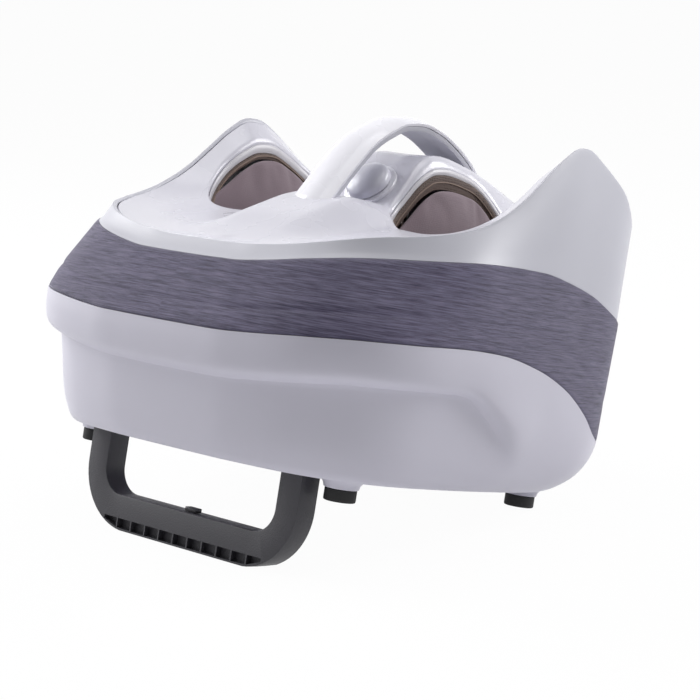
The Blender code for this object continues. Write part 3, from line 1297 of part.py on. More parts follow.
lower = make_lower_shell()
make_band()
make_side_collar()
make_top_shell()
for hand, label in ((-1, "left"), (1, "right")):
    make_well(hand, label)
make_handle()
make_dial()
make_base_plate()
make_feet()
make_stand()
for label, along in (("front", FRONT_SHAFT_Y), ("rear", REAR_SHAFT_Y)):
    make_cross_shaft(label, along)
make_worm()
make_gear_case()
make_motor()
make_air()
make_electrics()
make_inlet([lower, bpy.data.objects["fabric_band"], bpy.data.objects["band_carrier"]])

# lean the machine back about the heel edge of the rear feet
pivot = FEET_SPACING + FOOT_RADIUS - FOOT_CHAMFER
ROOT.rotation_euler = (-TILT, 0, 0)
ROOT.location = (0, 0, pivot * math.sin(TILT))

# centre the depth of the leaning machine on the origin
bpy.context.view_layer.update()
reach = [(obj.matrix_world @ v.co).y for obj in bpy.data.objects if obj.type == "MESH" and not obj.hide_render
         for v in obj.data.vertices]
ROOT.location.y = -(min(reach) + max(reach)) / 2
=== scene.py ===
"""Finished look of a foot massager: shells, woven band, padded wells, handle, dial, stand and light."""
import json
import math

import bmesh
import bpy
import numpy as np
from bpy.props import FloatProperty, FloatVectorProperty, PointerProperty
from mathutils import Matrix, Vector


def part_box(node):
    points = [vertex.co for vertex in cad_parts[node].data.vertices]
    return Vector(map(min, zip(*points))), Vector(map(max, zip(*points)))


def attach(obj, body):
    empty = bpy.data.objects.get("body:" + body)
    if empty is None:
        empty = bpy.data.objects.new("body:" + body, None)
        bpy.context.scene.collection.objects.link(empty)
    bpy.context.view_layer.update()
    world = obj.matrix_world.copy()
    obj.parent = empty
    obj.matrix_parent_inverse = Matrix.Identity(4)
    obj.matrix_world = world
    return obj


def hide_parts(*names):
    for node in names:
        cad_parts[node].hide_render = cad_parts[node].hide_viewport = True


bl_info = {
    "name": "Foot massager",
    "version": (1, 0, 0),
    "blender": (4, 5, 0),
    "location": "View3D > Sidebar > Massager",
    "description": "Dresses the foot massager's frame in its shells, fabric, pads and light",
    "category": "Object",
}

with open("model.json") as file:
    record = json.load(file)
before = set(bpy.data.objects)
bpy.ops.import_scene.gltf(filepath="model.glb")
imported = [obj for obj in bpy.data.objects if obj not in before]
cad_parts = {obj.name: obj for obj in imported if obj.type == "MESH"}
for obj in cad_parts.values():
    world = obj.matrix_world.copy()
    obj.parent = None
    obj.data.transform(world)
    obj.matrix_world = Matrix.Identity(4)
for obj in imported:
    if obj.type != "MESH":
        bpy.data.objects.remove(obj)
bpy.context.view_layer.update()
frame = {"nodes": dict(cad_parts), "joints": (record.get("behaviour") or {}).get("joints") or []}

MM = 0.001
MERGE = 0.01 * MM
QUARTER_TURN = math.pi / 2

# the machine leans back on its stand: x right, y to the heels, z up in its own frame
TILT = math.radians(13.45)
HINGE_IN_MACHINE = Vector((0, -14, 26)) * MM
STAND_HINGE = Vector(next(j["pos_m"] for j in frame["joints"] if j["name"] == "stand_fold"))
LEAN = (Matrix.Translation(STAND_HINGE) @ Matrix.Rotation(-TILT, 4, "X")
        @ Matrix.Translation(-HINGE_IN_MACHINE))
FROM_WORLD = LEAN.inverted()


def reach(node):
    """Lowest and highest corner of a frame node in the machine's own frame."""
    points = np.array([FROM_WORLD @ v.co for v in frame["nodes"][node].data.vertices])
    return Vector(points.min(0)), Vector(points.max(0))


# sizes of the body, read from the frame
BODY_LOW, BODY_HIGH = reach("lower_shell")
HALF_WIDTH = BODY_HIGH.x
FRONT_Y, REAR_Y = BODY_LOW.y, BODY_HIGH.y
BODY_DEPTH = REAR_Y - FRONT_Y
UNDERSIDE = BODY_LOW.z
WELL_OUTER = reach("well_lip_right")[1].x
WELL_INNER = reach("well_lip_right")[0].x
WELL_END = reach("well_lip_right")[1].y
WELL_OPEN_START = reach("well_lip_right")[0].y
LINER_INSET = 4.8 * MM
WELL_TOE_END = reach("well_liner_right")[0].y - LINER_INSET
LINER_FLOOR = reach("well_liner_right")[0].z
STAND_HALF_WIDTH = reach("stand")[1].x

# levels and insets of the body
WING_TOP = 310 * MM
SHELL_SKIN = 2.4 * MM
LOWER_SKIN = 2.2 * MM
BAND_SKIN = 0.8 * MM
SHELL_WALL = 3 * MM
FIT = 0.3 * MM
LOBE_TUCK = 15 * MM
LOBE_ROUND = 11 * MM
SILL_INSET = 34 * MM
FABRIC_TOP_FRONT_INSET = 21 * MM
FABRIC_TOP_SIDE_INSET = 8 * MM
FABRIC_WALL = 1.6 * MM
RIM_FRONT_INSET = 38 * MM
RIM_SIDE_INSET = 22 * MM
RIM_REAR_INSET = -8 * MM
FABRIC_TOP_REAR_INSET = -4 * MM
# how far the toe corners are drawn in and the heel corners flare out, at the band's top and at the rim
FABRIC_TOP_TUCK = 31 * MM
FABRIC_TOP_FLARE = 8.5 * MM
RIM_TUCK = 14 * MM
RIM_FLARE = 17 * MM
TUCK_END_SHARE = 0.35
FLARE_START_SHARE = 0.65
FLARE_FULL_SHARE = 0.95
RIDGE_FLAT = 28 * MM
RIDGE_FOOT = 72 * MM
WING_CREST = HALF_WIDTH - 26 * MM
# the wings' inner faces curl up as a power of the way out, flatter towards the toes
WING_POWER = 2.4
WING_FLAT_POWER = 3
WING_FLAT_SHARE = 0.4
WING_SLOPE_SHARE = 0.6
# the toe edge of each opening runs slantwise, nearer the toes at the outer side
WELL_RIDGE_LAG = 12 * MM
WELL_SLANT_SHARE = 0.44
WELL_CORNER = 28 * MM
WELL_OUTER_CORNER = 50 * MM
HEEL_CORNER = 58 * MM
TOE_CORNER = 46 * MM
# heights of the lip and of the mesh strip under it, beside the ridge and along the outer side
LIP_RIDGE_HEIGHT, LIP_OUTER_HEIGHT = 8.5 * MM, 12.8 * MM
STRIP_RIDGE_HEIGHT, STRIP_OUTER_HEIGHT = 12.8 * MM, 5.8 * MM

# carry handle
HANDLE_TOP = 324 * MM
HANDLE_START = FRONT_Y + BODY_DEPTH * 0.375
HANDLE_LENGTH = BODY_DEPTH * (0.905 - 0.375)
HANDLE_HALF_WIDTH = 21.2 * MM
HANDLE_COVER_WALL = 2.6 * MM
HANDLE_DEPTH = 11.8 * MM

# dial on the front slope of the ridge
DIAL_LEAN = math.radians(50)
DIAL_SEAT_Y = FRONT_Y + BODY_DEPTH * 0.577
DIAL_RADIUS = 21 * MM
DISH_RADIUS = 27 * MM
DISH_EDGE = 41 * MM

# share of the half width and of the depth along the right half of the plan outline, toe end first
OUTLINE_SHARES = [
    (0, 0), (0.20, 0.001), (0.37, 0.006), (0.65, 0.037), (0.833, 0.103), (0.94, 0.205), (0.986, 0.342),
    (1, 0.513), (0.986, 0.685), (0.935, 0.831), (0.824, 0.924), (0.602, 0.976), (0.278, 0.995), (0, 1)]
# heights along the depth: share of the depth, share of the wing's height
FABRIC_BOTTOM_SHARES = [
    (0, 0.384), (0.037, 0.404), (0.103, 0.416), (0.2, 0.423), (0.342, 0.430), (0.42, 0.427), (0.54, 0.403),
    (0.66, 0.356), (0.763, 0.29), (0.831, 0.236), (0.924, 0.2), (1, 0.18)]
FABRIC_TOP_SHARES = [
    (0, 0.561), (0.037, 0.592), (0.103, 0.615), (0.2, 0.632), (0.347, 0.65), (0.434, 0.653), (0.524, 0.652),
    (0.614, 0.639), (0.717, 0.616), (0.831, 0.572), (0.924, 0.548), (1, 0.535)]
LOBE_BOTTOM_SHARES = [
    (0, 0.271), (0.037, 0.287), (0.103, 0.3), (0.342, 0.308), (0.447, 0.263), (0.545, 0.18), (0.61, 0.105),
    (0.68, 0.078), (1, 0.075)]
WING_RIM_SHARES = [
    (0, 0.7), (0.22, 0.7), (0.296, 0.712), (0.379, 0.742), (0.43, 0.774), (0.487, 0.822), (0.543, 0.884),
    (0.599, 0.948), (0.65, 0.99), (0.7, 1), (0.746, 0.986), (0.807, 0.955), (0.85, 0.926), (0.9, 0.87),
    (0.95, 0.815), (1, 0.79)]
RIDGE_SHARES = [
    (0, 0.6), (0.093, 0.606), (0.15, 0.617), (0.22, 0.655), (0.284, 0.703), (0.342, 0.739), (0.401, 0.771),
    (0.44, 0.782), (0.494, 0.781), (0.533, 0.778), (0.562, 0.806), (0.587, 0.845), (0.611, 0.885),
    (0.636, 0.915), (0.667, 0.938), (0.709, 0.945), (0.797, 0.932), (0.875, 0.91), (1, 0.86)]
DECK_SHARES = [
    (0, 0.6), (0.093, 0.606), (0.22, 0.642), (0.342, 0.676), (0.509, 0.718), (0.65, 0.735), (0.929, 0.76),
    (1, 0.77)]
HANDLE_SHARES = [
    (0, 0.725), (0.038, 0.756), (0.134, 0.836), (0.25, 0.919), (0.336, 0.958), (0.442, 0.991),
    (0.557, 1), (0.673, 0.988), (0.798, 0.958), (0.904, 0.92), (1, 0.868)]
LOBE_WALL_SHARE = 0.35
LOBE_ROUND_SHARES = [(0.13, 1), (0.37, 0.45), (0.8, 0.1)]
TOE_SECTION_SHARES = [(1.0, 0.95), (1.47, 0.38), (1.87, 0.12)]
SILL_ROUND_SHARES = (0.92, 0.035)
LOBE_FADE_SHARE = 0.95
HEEL_SECTION_SHARES = [
    (0, 1), (0.05, 0.82), (0.13, 0.64), (0.24, 0.48), (0.36, 0.35), (0.5, 0.24), (0.66, 0.14), (0.82, 0.06),
    (0.93, 0.02), (1, 0)]
BAND_INSET_SHARES = [(0, 0), (0.33, 0.26), (0.67, 0.63), (1, 1)]
TOE_WALL_SHARES = [(0, 0), (0.25, 0.32), (0.6, 0.66), (1, 1)]
HEEL_WALL_SHARES = [(0, 0), (0.25, 0.08), (0.6, 0.4), (1, 1)]

# points along the outline, and along the pieces of a well's opening
OUTLINE_COUNT = 192
FRONT_COUNT, FRONT_CORNER_COUNT, SIDE_COUNT, HEEL_CORNER_COUNT, HEEL_COUNT = 24, 80, 40, 30, 8
SHELL_RING_COUNT = 38


def linear(channel):
    """One sRGB channel as linear light."""
    return channel / 12.92 if channel <= 0.04045 else ((channel + 0.055) / 1.055) ** 2.4


def tone(colour):
    """Linear red, green and blue of an sRGB hex colour."""
    return tuple(linear(int(colour[k:k + 2], 16) / 255) for k in (0, 2, 4))


def length_setting(name, description, default):
    """A length that a user can set."""
    return FloatProperty(name=name, description=description, default=default, unit="LENGTH", precision=5)


def colour_setting(name, description, default):
    """A colour that a user can set, given as an sRGB hex value."""
    return FloatVectorProperty(name=name, description=description, default=tone(default), subtype="COLOR")


class MassagerSizes(bpy.types.PropertyGroup):
    """Sizes of the finish that the frame doesn't hold."""

    well_round: length_setting("Well edge", "Rounding of the top shell into each well", 3.5 * MM)
    rim_round: length_setting("Rim edge", "Rounding where the top shell meets the side wall", 1.2 * MM)
    handle_crown: length_setting("Handle crown", "How far the handle's edges droop below its middle", 4.7 * MM)
    thread: length_setting("Thread", "Spacing of the woven band's threads", 0.95 * MM)
    net: length_setting("Net", "Spacing of the holes in the mesh strip", 2.2 * MM)
    liner_swell: length_setting("Liner swell", "How far each well's padding swells inwards", 7 * MM)


class MassagerColours(bpy.types.PropertyGroup):
    """Colours of the moulded parts and the fabrics."""

    deck: colour_setting("Deck", "Glossy top shell", "CFCED8")
    top: colour_setting("Handle", "Glossy handle and the dial's ring", "EBEAF1")
    wall: colour_setting("Side wall", "Satin wall between the band and the wings' rims", "C0C0C9")
    lower: colour_setting("Lower shell", "Satin lower shell", "D1CFDB")
    lip: colour_setting("Lip", "Lip round each well", "C3C1C7")
    dial: colour_setting("Dial", "Knob", "D0D0DA")
    heather_pale: colour_setting("Pale thread", "Paler thread of the woven band", "8B85A2")
    heather_dark: colour_setting("Dark thread", "Darker thread of the woven band", "322C49")
    liner: colour_setting("Liner", "Padded lining of the wells", "7C6C74")
    net: colour_setting("Mesh", "Mesh strip under the lip", "54433C")
    piping: colour_setting("Piping", "Cord sewn along the mesh strip", "7E6A5F")
    stand: colour_setting("Stand", "Fold-out stand", "37363C")


def sizes():
    """The settings of the finish's sizes."""
    return bpy.context.scene.massager_sizes


def colours():
    """The settings of the finish's colours."""
    return bpy.context.scene.massager_colours


def curve_at(shares, t):
    """Smooth curve through a table of shares, read at t."""
    xs = [p[0] for p in shares]
    ys = [p[1] for p in shares]
    t = min(max(t, xs[0]), xs[-1])
    k = max(0, min(len(xs) - 2, int(np.searchsorted(xs, t, side="right")) - 1))
    slopes = [(ys[j + 1] - ys[j]) / (xs[j + 1] - xs[j]) for j in range(len(xs) - 1)]

    def tangent(j):
        if j == 0 or j == len(xs) - 1:
            return slopes[min(j, len(slopes) - 1)]
        before, after = slopes[j - 1], slopes[j]
        if before * after <= 0:
            return 0
        return 2 * before * after / (before + after)

    span = xs[k + 1] - xs[k]
    s = (t - xs[k]) / span
    low = ys[k] * (1 + 2 * s) * (1 - s) ** 2 + ys[k + 1] * s * s * (3 - 2 * s)
    return low + span * (tangent(k) * s * (1 - s) ** 2 - tangent(k + 1) * s * s * (1 - s))


def ease(t):
    """Smooth step from 0 to 1."""
    t = min(max(t, 0), 1)
    return t * t * (3 - 2 * t)


def catmull(points, steps):
    """Points along a smooth open curve through the given ones."""
    pts = [np.array(p, float) for p in points]
    out = []
    for k in range(len(pts) - 1):
        a = pts[k - 1] if k else pts[k] * 2 - pts[k + 1]
        b, c = pts[k], pts[k + 1]
        d = pts[k + 2] if k + 2 < len(pts) else pts[k + 1] * 2 - pts[k]
        for s in range(steps):
            t = s / steps
            out.append(0.5 * ((2 * b) + (c - a) * t + (2 * a - 5 * b + 4 * c - d) * t * t
                              + (3 * b - a - 3 * c + d) * t ** 3))
    out.append(pts[-1])
    return out


def outline_curve():
    """Right half of the plan outline as fine points and the length run so far, in shares of the depth."""
    mirrored = [(-OUTLINE_SHARES[1][0], OUTLINE_SHARES[1][1])] + OUTLINE_SHARES
    mirrored = mirrored + [(-OUTLINE_SHARES[-2][0], OUTLINE_SHARES[-2][1])]
    steps = 24
    fine = catmull(mirrored, steps)[steps:-steps]
    ratio = HALF_WIDTH / BODY_DEPTH
    gaps = [math.hypot((q[0] - p[0]) * ratio, q[1] - p[1]) for p, q in zip(fine[:-1], fine[1:])]
    return fine, np.concatenate([[0], np.cumsum(gaps)])


FINE_OUTLINE, OUTLINE_RUN = outline_curve()
OUTLINE_XS, OUTLINE_YS = np.array(FINE_OUTLINE).T


def outline_at(run_share):
    """Shares of half width and depth at a share of the half outline's length."""
    at = OUTLINE_RUN[-1] * run_share
    return (float(np.interp(at, OUTLINE_RUN, [p[0] for p in FINE_OUTLINE])),
            float(np.interp(at, OUTLINE_RUN, [p[1] for p in FINE_OUTLINE])))


def plan_outline(count):
    """Closed plan outline in shares, evenly spaced, from the middle of the toe end."""
    right = [outline_at(2 * k / count) for k in range(count // 2 + 1)]
    return right + [(-x, y) for x, y in right[-2:0:-1]]


OUTLINE = plan_outline(OUTLINE_COUNT)


def widening(y_share, tuck, flare):
    """How far a level is wider than its plain outline: drawn in at the toe end, flared at the heel end."""
    drawn = 1 - ease(y_share / TUCK_END_SHARE)
    spread = ease((y_share - FLARE_START_SHARE) / (FLARE_FULL_SHARE - FLARE_START_SHARE))
    return flare * spread - tuck * drawn


def level(front_inset, side_inset, rear_inset, height, extra=0, tuck=0, flare=0):
    """Ring of the body at a level; height is a function of the shares."""
    front = FRONT_Y + front_inset + extra
    rear = REAR_Y - rear_inset - extra
    half = HALF_WIDTH - side_inset - extra
    return [Vector((x * (half + widening(y, tuck, flare)), front + y * (rear - front), height(x, y)))
            for x, y in OUTLINE]


def rim_half_width(y):
    """Half the width between the wings' rims at a place along the body."""
    front, rear = FRONT_Y + RIM_FRONT_INSET, REAR_Y - RIM_REAR_INSET
    share = min(max((y - front) / (rear - front), 0), 1)
    x = max(float(np.interp(share, OUTLINE_YS, OUTLINE_XS)), 0.05)
    return x * (HALF_WIDTH - RIM_SIDE_INSET + widening(share, RIM_TUCK, RIM_FLARE))


def deck_height(x, y):
    """Height of the moulded top before the dial's dish: ridge, deck beside it and wings."""
    t = (y - FRONT_Y) / BODY_DEPTH
    ridge = curve_at(RIDGE_SHARES, t) * WING_TOP
    deck = curve_at(DECK_SHARES, t) * WING_TOP
    wing = curve_at(WING_RIM_SHARES, t) * WING_TOP
    x = abs(x)
    middle = ridge + (deck - ridge) * ease((x - RIDGE_FLAT) / (RIDGE_FOOT - RIDGE_FLAT))
    rise = (x / (WING_CREST + widening(t, RIM_TUCK, RIM_FLARE))) ** WING_POWER
    # towards the toes the deck stays flat further out, and turns up later into the rim
    flat = WING_FLAT_POWER * (1 - ease((t - WING_FLAT_SHARE) / (WING_SLOPE_SHARE - WING_FLAT_SHARE)))
    return middle + (wing - deck) * rise * min(x / rim_half_width(y), 1) ** flat


DIAL_SEAT = Vector((0, DIAL_SEAT_Y, deck_height(0, DIAL_SEAT_Y)))
DIAL_MATRIX = Matrix.Translation(DIAL_SEAT) @ Matrix.Rotation(DIAL_LEAN, 4, "X")


def top_height(x, y):
    """Height of the moulded top, with the shallow dish round the dial."""
    z = deck_height(x, y)
    across = (y - DIAL_SEAT_Y) / math.cos(DIAL_LEAN)
    away = math.hypot(x, across)
    if away >= DISH_EDGE:
        return z
    plane = DIAL_SEAT.z + math.tan(DIAL_LEAN) * (y - DIAL_SEAT_Y)
    keep = ease((away - DISH_RADIUS) / (DISH_EDGE - DISH_RADIUS))
    return plane + (z - plane) * keep if plane < z else z


def fabric_bottom(y_share):
    """Height of the woven band's lower edge."""
    return curve_at(FABRIC_BOTTOM_SHARES, y_share) * WING_TOP


def fabric_top(y_share):
    """Height of the woven band's upper edge."""
    return curve_at(FABRIC_TOP_SHARES, y_share) * WING_TOP


def well_loop(side, inset, height, tub=False):
    """Ring inside a well's opening or its tub, from the middle of the corner nearest the ridge and toes."""
    lead = WELL_TOE_END if tub else WELL_OPEN_START + WELL_RIDGE_LAG
    slant = 0 if tub else WELL_SLANT_SHARE
    x0, x1, y1 = WELL_INNER + inset, WELL_OUTER - inset, WELL_END - inset
    fronts = [lead - slant * (x - WELL_INNER) + inset * math.hypot(1, slant) for x in (x0, x1)]
    corners = [Vector((x0, fronts[0])), Vector((x1, fronts[1])), Vector((x1, y1)), Vector((x0, y1))]
    toe_radii = (TOE_CORNER, TOE_CORNER) if tub else (WELL_CORNER, WELL_OUTER_CORNER)
    radii = (*toe_radii, HEEL_CORNER, HEEL_CORNER)
    arc_counts = (FRONT_CORNER_COUNT, FRONT_CORNER_COUNT, HEEL_CORNER_COUNT, HEEL_CORNER_COUNT)
    run_counts = (FRONT_COUNT, SIDE_COUNT, HEEL_COUNT, SIDE_COUNT)
    arcs, ends = [], []
    for k, corner in enumerate(corners):
        before = (corner - corners[k - 1]).normalized()
        after = (corners[(k + 1) % 4] - corner).normalized()
        heading = math.atan2(before.y, before.x)
        turn = (math.atan2(after.y, after.x) - heading) % math.tau
        radius = radii[k] - inset
        tangent = radius * math.tan(turn / 2)
        centre = corner - before * tangent + Vector((-before.y, before.x)) * radius
        angles = [heading - QUARTER_TURN + turn * j / arc_counts[k] for j in range(arc_counts[k])]
        arcs.append([centre + Vector((math.cos(a), math.sin(a))) * radius for a in angles])
        ends.append(corner + after * tangent)
    points = []
    for k in range(4):
        points += arcs[k]
        points += [ends[k].lerp(arcs[(k + 1) % 4][0], j / run_counts[k]) for j in range(run_counts[k])]
    first = FRONT_CORNER_COUNT // 2
    return [Vector((side * p.x, p.y, height(p.x, p.y))) for p in points[first:] + points[:first]]


def trim_ring(side, inset, lip_share, strip_share=0, below=0, tub=False):
    """Ring inside a well at shares of the heights of its lip and mesh strip under the opening's edge."""
    ring = well_loop(side, inset, lambda x, y: 0, tub)
    for p, edge in zip(ring, well_loop(side, 0, top_height, tub)):
        k = ease((abs(edge.x) - WELL_INNER) / (WELL_OUTER - WELL_INNER))
        lip = LIP_RIDGE_HEIGHT + (LIP_OUTER_HEIGHT - LIP_RIDGE_HEIGHT) * k
        strip = STRIP_RIDGE_HEIGHT + (STRIP_OUTER_HEIGHT - STRIP_RIDGE_HEIGHT) * k
        p.z = edge.z - lip * lip_share - strip * strip_share - below
    return ring


def drop(depth):
    """Height function that follows the moulded top at a fixed drop."""
    return lambda x, y: top_height(x, y) - depth


def deselect():
    """Leave nothing selected."""
    bpy.ops.object.select_all(action="DESELECT")


def only(obj):
    """Select one object and make it the active one."""
    deselect()
    obj.select_set(True)
    bpy.context.view_layer.objects.active = obj


def loft(name, rings, closed=False, caps=False, matrix=LEAN):
    """Ring of edges, extruded once for each further ring and closed with its doubles merged."""
    deselect()
    bpy.ops.mesh.primitive_circle_add(vertices=len(rings[0]), radius=HALF_WIDTH)
    obj = bpy.context.object
    obj.name = obj.data.name = name
    bpy.ops.object.mode_set(mode="EDIT")
    mesh = bmesh.from_edit_mesh(obj.data)
    place = mesh.verts.layers.int.new("place")
    for k, vert in enumerate(mesh.verts):
        vert[place] = k
        vert.co = matrix @ rings[0][k]
    for ring in rings[1:] + (rings[:1] if closed else []):
        bpy.ops.mesh.extrude_region()
        mesh = bmesh.from_edit_mesh(obj.data)
        place = mesh.verts.layers.int["place"]
        for vert in mesh.verts:
            if vert.select:
                vert.co = matrix @ ring[vert[place]]
    bpy.ops.mesh.select_all(action="SELECT")
    bpy.ops.mesh.remove_doubles(threshold=MERGE)
    if caps:
        bpy.ops.mesh.fill_holes(sides=0)
    bpy.ops.mesh.normals_make_consistent(inside=False)
    bpy.ops.object.mode_set(mode="OBJECT")
    obj.data.attributes.remove(obj.data.attributes["place"])
    return obj


def turned(name, profile, matrix, steps=64):
    """Profile of radius and height drawn point by point and spun round its axis."""
    deselect()
    bpy.ops.mesh.primitive_circle_add(vertices=3, radius=profile[0][0] + MM)
    obj = bpy.context.object
    obj.name = obj.data.name = name
    bpy.ops.object.mode_set(mode="EDIT")
    bpy.ops.mesh.merge(type="CENTER")
    bpy.ops.mesh.select_all(action="SELECT")
    mesh = bmesh.from_edit_mesh(obj.data)
    for number, (radius, height) in enumerate(profile):
        if number:
            bpy.ops.mesh.extrude_region()
            mesh = bmesh.from_edit_mesh(obj.data)
        for vert in mesh.verts:
            if vert.select:
                vert.co = (radius, 0, height)
    bpy.ops.mesh.select_all(action="SELECT")
    bpy.ops.mesh.spin(steps=steps, angle=math.tau, center=(0, 0, 0), axis=(0, 0, 1))
    bpy.ops.mesh.select_all(action="SELECT")
    bpy.ops.mesh.remove_doubles(threshold=MERGE)
    bpy.ops.mesh.normals_make_consistent(inside=False)
    bpy.ops.object.mode_set(mode="OBJECT")
    obj.data.transform(matrix)
    return obj


def apply_modifier(obj, kind, **settings):
    """Add a modifier, set it and apply it."""
    only(obj)
    mod = obj.modifiers.new(kind.title(), kind)
    for name, value in settings.items():
        setattr(mod, name, value)
    bpy.ops.object.modifier_apply(modifier=mod.name)


def carve(obj, boxes, ground):
    """Cut boxes, given by two corners in the machine's frame, out of a piece above a curved ground."""
    deselect()
    cutters = []
    for low, high in boxes:
        bpy.ops.mesh.primitive_cube_add(size=1)
        cutter = bpy.context.object
        cutter.data.transform(Matrix.Translation((low + high) / 2) @ Matrix.Diagonal((*(high - low), 1)))
        for vert in cutter.data.vertices:
            vert.co.z = max(vert.co.z, ground(vert.co.x))
        cutter.data.transform(LEAN)
        cutters.append(cutter)
    for cutter in cutters:
        cutter.select_set(True)
    bpy.ops.object.join()
    joined = bpy.context.object
    apply_modifier(obj, "BOOLEAN", operation="DIFFERENCE", object=joined, solver="EXACT")
    bpy.data.objects.remove(joined)


def dress(obj, finish, nodes=(), body="housing", angle=40):
    """Give a piece its finish, hang it on the body that it rides on, and hide the frame nodes that it stands
    for.
    """
    obj.data.materials.clear()
    obj.data.materials.append(finish)
    only(obj)
    bpy.ops.object.shade_smooth_by_angle(angle=math.radians(angle))
    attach(obj, body)
    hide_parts(*nodes)
    return obj


def merged_copy(node, name):
    """Copy of a frame node with its loose triangles merged into one skin."""
    mesh = frame["nodes"][node].data.copy()
    obj = bpy.data.objects.new(name, mesh)
    bpy.context.scene.collection.objects.link(obj)
    only(obj)
    bpy.ops.object.mode_set(mode="EDIT")
    bpy.ops.mesh.select_all(action="SELECT")
    bpy.ops.mesh.remove_doubles(threshold=MERGE)
    bpy.ops.mesh.dissolve_limited(angle_limit=math.radians(1))
    bpy.ops.mesh.normals_make_consistent(inside=False)
    bpy.ops.object.mode_set(mode="OBJECT")
    return obj


def add(tree, kind, settings=None, links=None):
    """Add a node, set its sockets or attributes, and link others to it."""
    node = tree.nodes.new(kind)
    for key, value in (settings or {}).items():
        if isinstance(key, int) or key in node.inputs:
            node.inputs[key].default_value = value
        else:
            setattr(node, key, value)
    for key, socket in (links or {}).items():
        tree.links.new(socket, node.inputs[key])
    return node


def new_finish(name, rgb, roughness, settings=None):
    """Material with its shader set; gives the material, its node tree and its shader."""
    mat = bpy.data.materials.new(name)
    mat.use_nodes = True
    tree = mat.node_tree
    shader = tree.nodes["Principled BSDF"]
    shader.inputs["Base Color"].default_value = (*rgb, 1)
    shader.inputs["Roughness"].default_value = roughness
    for key, value in (settings or {}).items():
        shader.inputs[key].default_value = value
    return mat, tree, shader


def machine_axes(tree):
    """Object coordinates turned back into the machine's own frame."""
    coords = add(tree, "ShaderNodeTexCoord")
    turn = add(tree, "ShaderNodeMapping", {"Rotation": (TILT, 0, 0)}, {"Vector": coords.outputs["Object"]})
    return turn.outputs["Vector"]


def tint(tree, shader, rgb, factor, amount, other=(0, 0, 0)):
    """Mix a share of another colour into the base colour where the factor says."""
    scaled = add(tree, "ShaderNodeMath", {"operation": "MULTIPLY", 1: amount}, {0: factor})
    mix = add(tree, "ShaderNodeMix", {"data_type": "RGBA"}, {"Factor": scaled.outputs[0]})
    mix.inputs[6].default_value = (*rgb, 1)
    mix.inputs[7].default_value = (*other, 1)
    tree.links.new(mix.outputs[2], shader.inputs["Base Color"])
    return mix


def moulded(name, rgb, roughness, grain, depth, settings=None, vary=0.05):
    """Injection-moulded plastic: a fine mould grain, and a finish that is a touch uneven."""
    mat, tree, shader = new_finish(name, rgb, roughness, settings)
    where = machine_axes(tree)
    cloud = add(tree, "ShaderNodeTexNoise", {"Scale": 1 / (60 * MM), "Detail": 3}, {"Vector": where})
    tint(tree, shader, rgb, cloud.outputs["Fac"], vary, tuple(c * 0.75 for c in rgb))
    rough = add(tree, "ShaderNodeMapRange", {"To Min": roughness * 0.85, "To Max": roughness * 1.15},
                {"Value": cloud.outputs["Fac"]})
    tree.links.new(rough.outputs["Result"], shader.inputs["Roughness"])
    fine = add(tree, "ShaderNodeTexNoise", {"Scale": 1 / grain, "Detail": 2}, {"Vector": where})
    bump = add(tree, "ShaderNodeBump", {"Strength": 1, "Distance": depth}, {"Height": fine.outputs["Fac"]})
    tree.links.new(bump.outputs["Normal"], shader.inputs["Normal"])
    return mat


def gloss_abs(name, rgb, coat=0.3):
    """Polished ABS: a clear reflection over a body that keeps a trace of orange peel."""
    return moulded(name, rgb, 0.27, 9 * MM, 0.02 * MM, {"Coat Weight": coat, "Coat Roughness": 0.14})


def satin_abs(name, rgb, roughness=0.42):
    """Spark-eroded ABS: the reflection is broad and soft."""
    return moulded(name, rgb, roughness, 0.9 * MM, 0.012 * MM)


def heather_weave(name):
    """Two-tone polyester weave: long flat threads along the band, picked dark and pale at random."""
    c = colours()
    mat, tree, shader = new_finish(name, tuple(c.heather_dark), 0.88,
                                   {"Sheen Weight": 0.5, "Sheen Roughness": 0.35})
    uv = add(tree, "ShaderNodeUVMap", {"uv_map": "band"})
    # a thread is about 0.5 mm apart; it is drawn coarser so that it shows
    thread = sizes().thread
    flecks = add(tree, "ShaderNodeMapping", {"Scale": (1 / (22 * MM), 1 / thread, 1)},
                 {"Vector": uv.outputs["UV"]})
    noise = add(tree, "ShaderNodeTexNoise", {"Scale": 1, "Detail": 3, "Roughness": 0.6},
                {"Vector": flecks.outputs["Vector"]})
    slub = add(tree, "ShaderNodeMapping", {"Scale": (1 / (90 * MM), 1 / (3.2 * thread), 1)},
               {"Vector": uv.outputs["UV"]})
    broad = add(tree, "ShaderNodeTexNoise", {"Scale": 1, "Detail": 2}, {"Vector": slub.outputs["Vector"]})
    both = add(tree, "ShaderNodeMath", {"operation": "MULTIPLY_ADD", 1: 0.45},
               {0: broad.outputs["Fac"], 2: noise.outputs["Fac"]})
    ramp = add(tree, "ShaderNodeMapRange", {"From Min": 0.5, "From Max": 1.0}, {"Value": both.outputs[0]})
    mix = add(tree, "ShaderNodeMix", {"data_type": "RGBA"}, {"Factor": ramp.outputs["Result"]})
    mix.inputs[6].default_value = (*c.heather_dark, 1)
    mix.inputs[7].default_value = (*c.heather_pale, 1)
    tree.links.new(mix.outputs[2], shader.inputs["Base Color"])
    ribs = add(tree, "ShaderNodeTexWave", {"Scale": 1, "bands_direction": "Y", "Distortion": 0.6,
                                          "Detail": 1}, {"Vector": flecks.outputs["Vector"]})
    height = add(tree, "ShaderNodeMath", {"operation": "ADD"},
                 {0: ribs.outputs["Fac"], 1: noise.outputs["Fac"]})
    bump = add(tree, "ShaderNodeBump", {"Strength": 0.6, "Distance": 0.35 * MM},
               {"Height": height.outputs[0]})
    tree.links.new(bump.outputs["Normal"], shader.inputs["Normal"])
    return mat


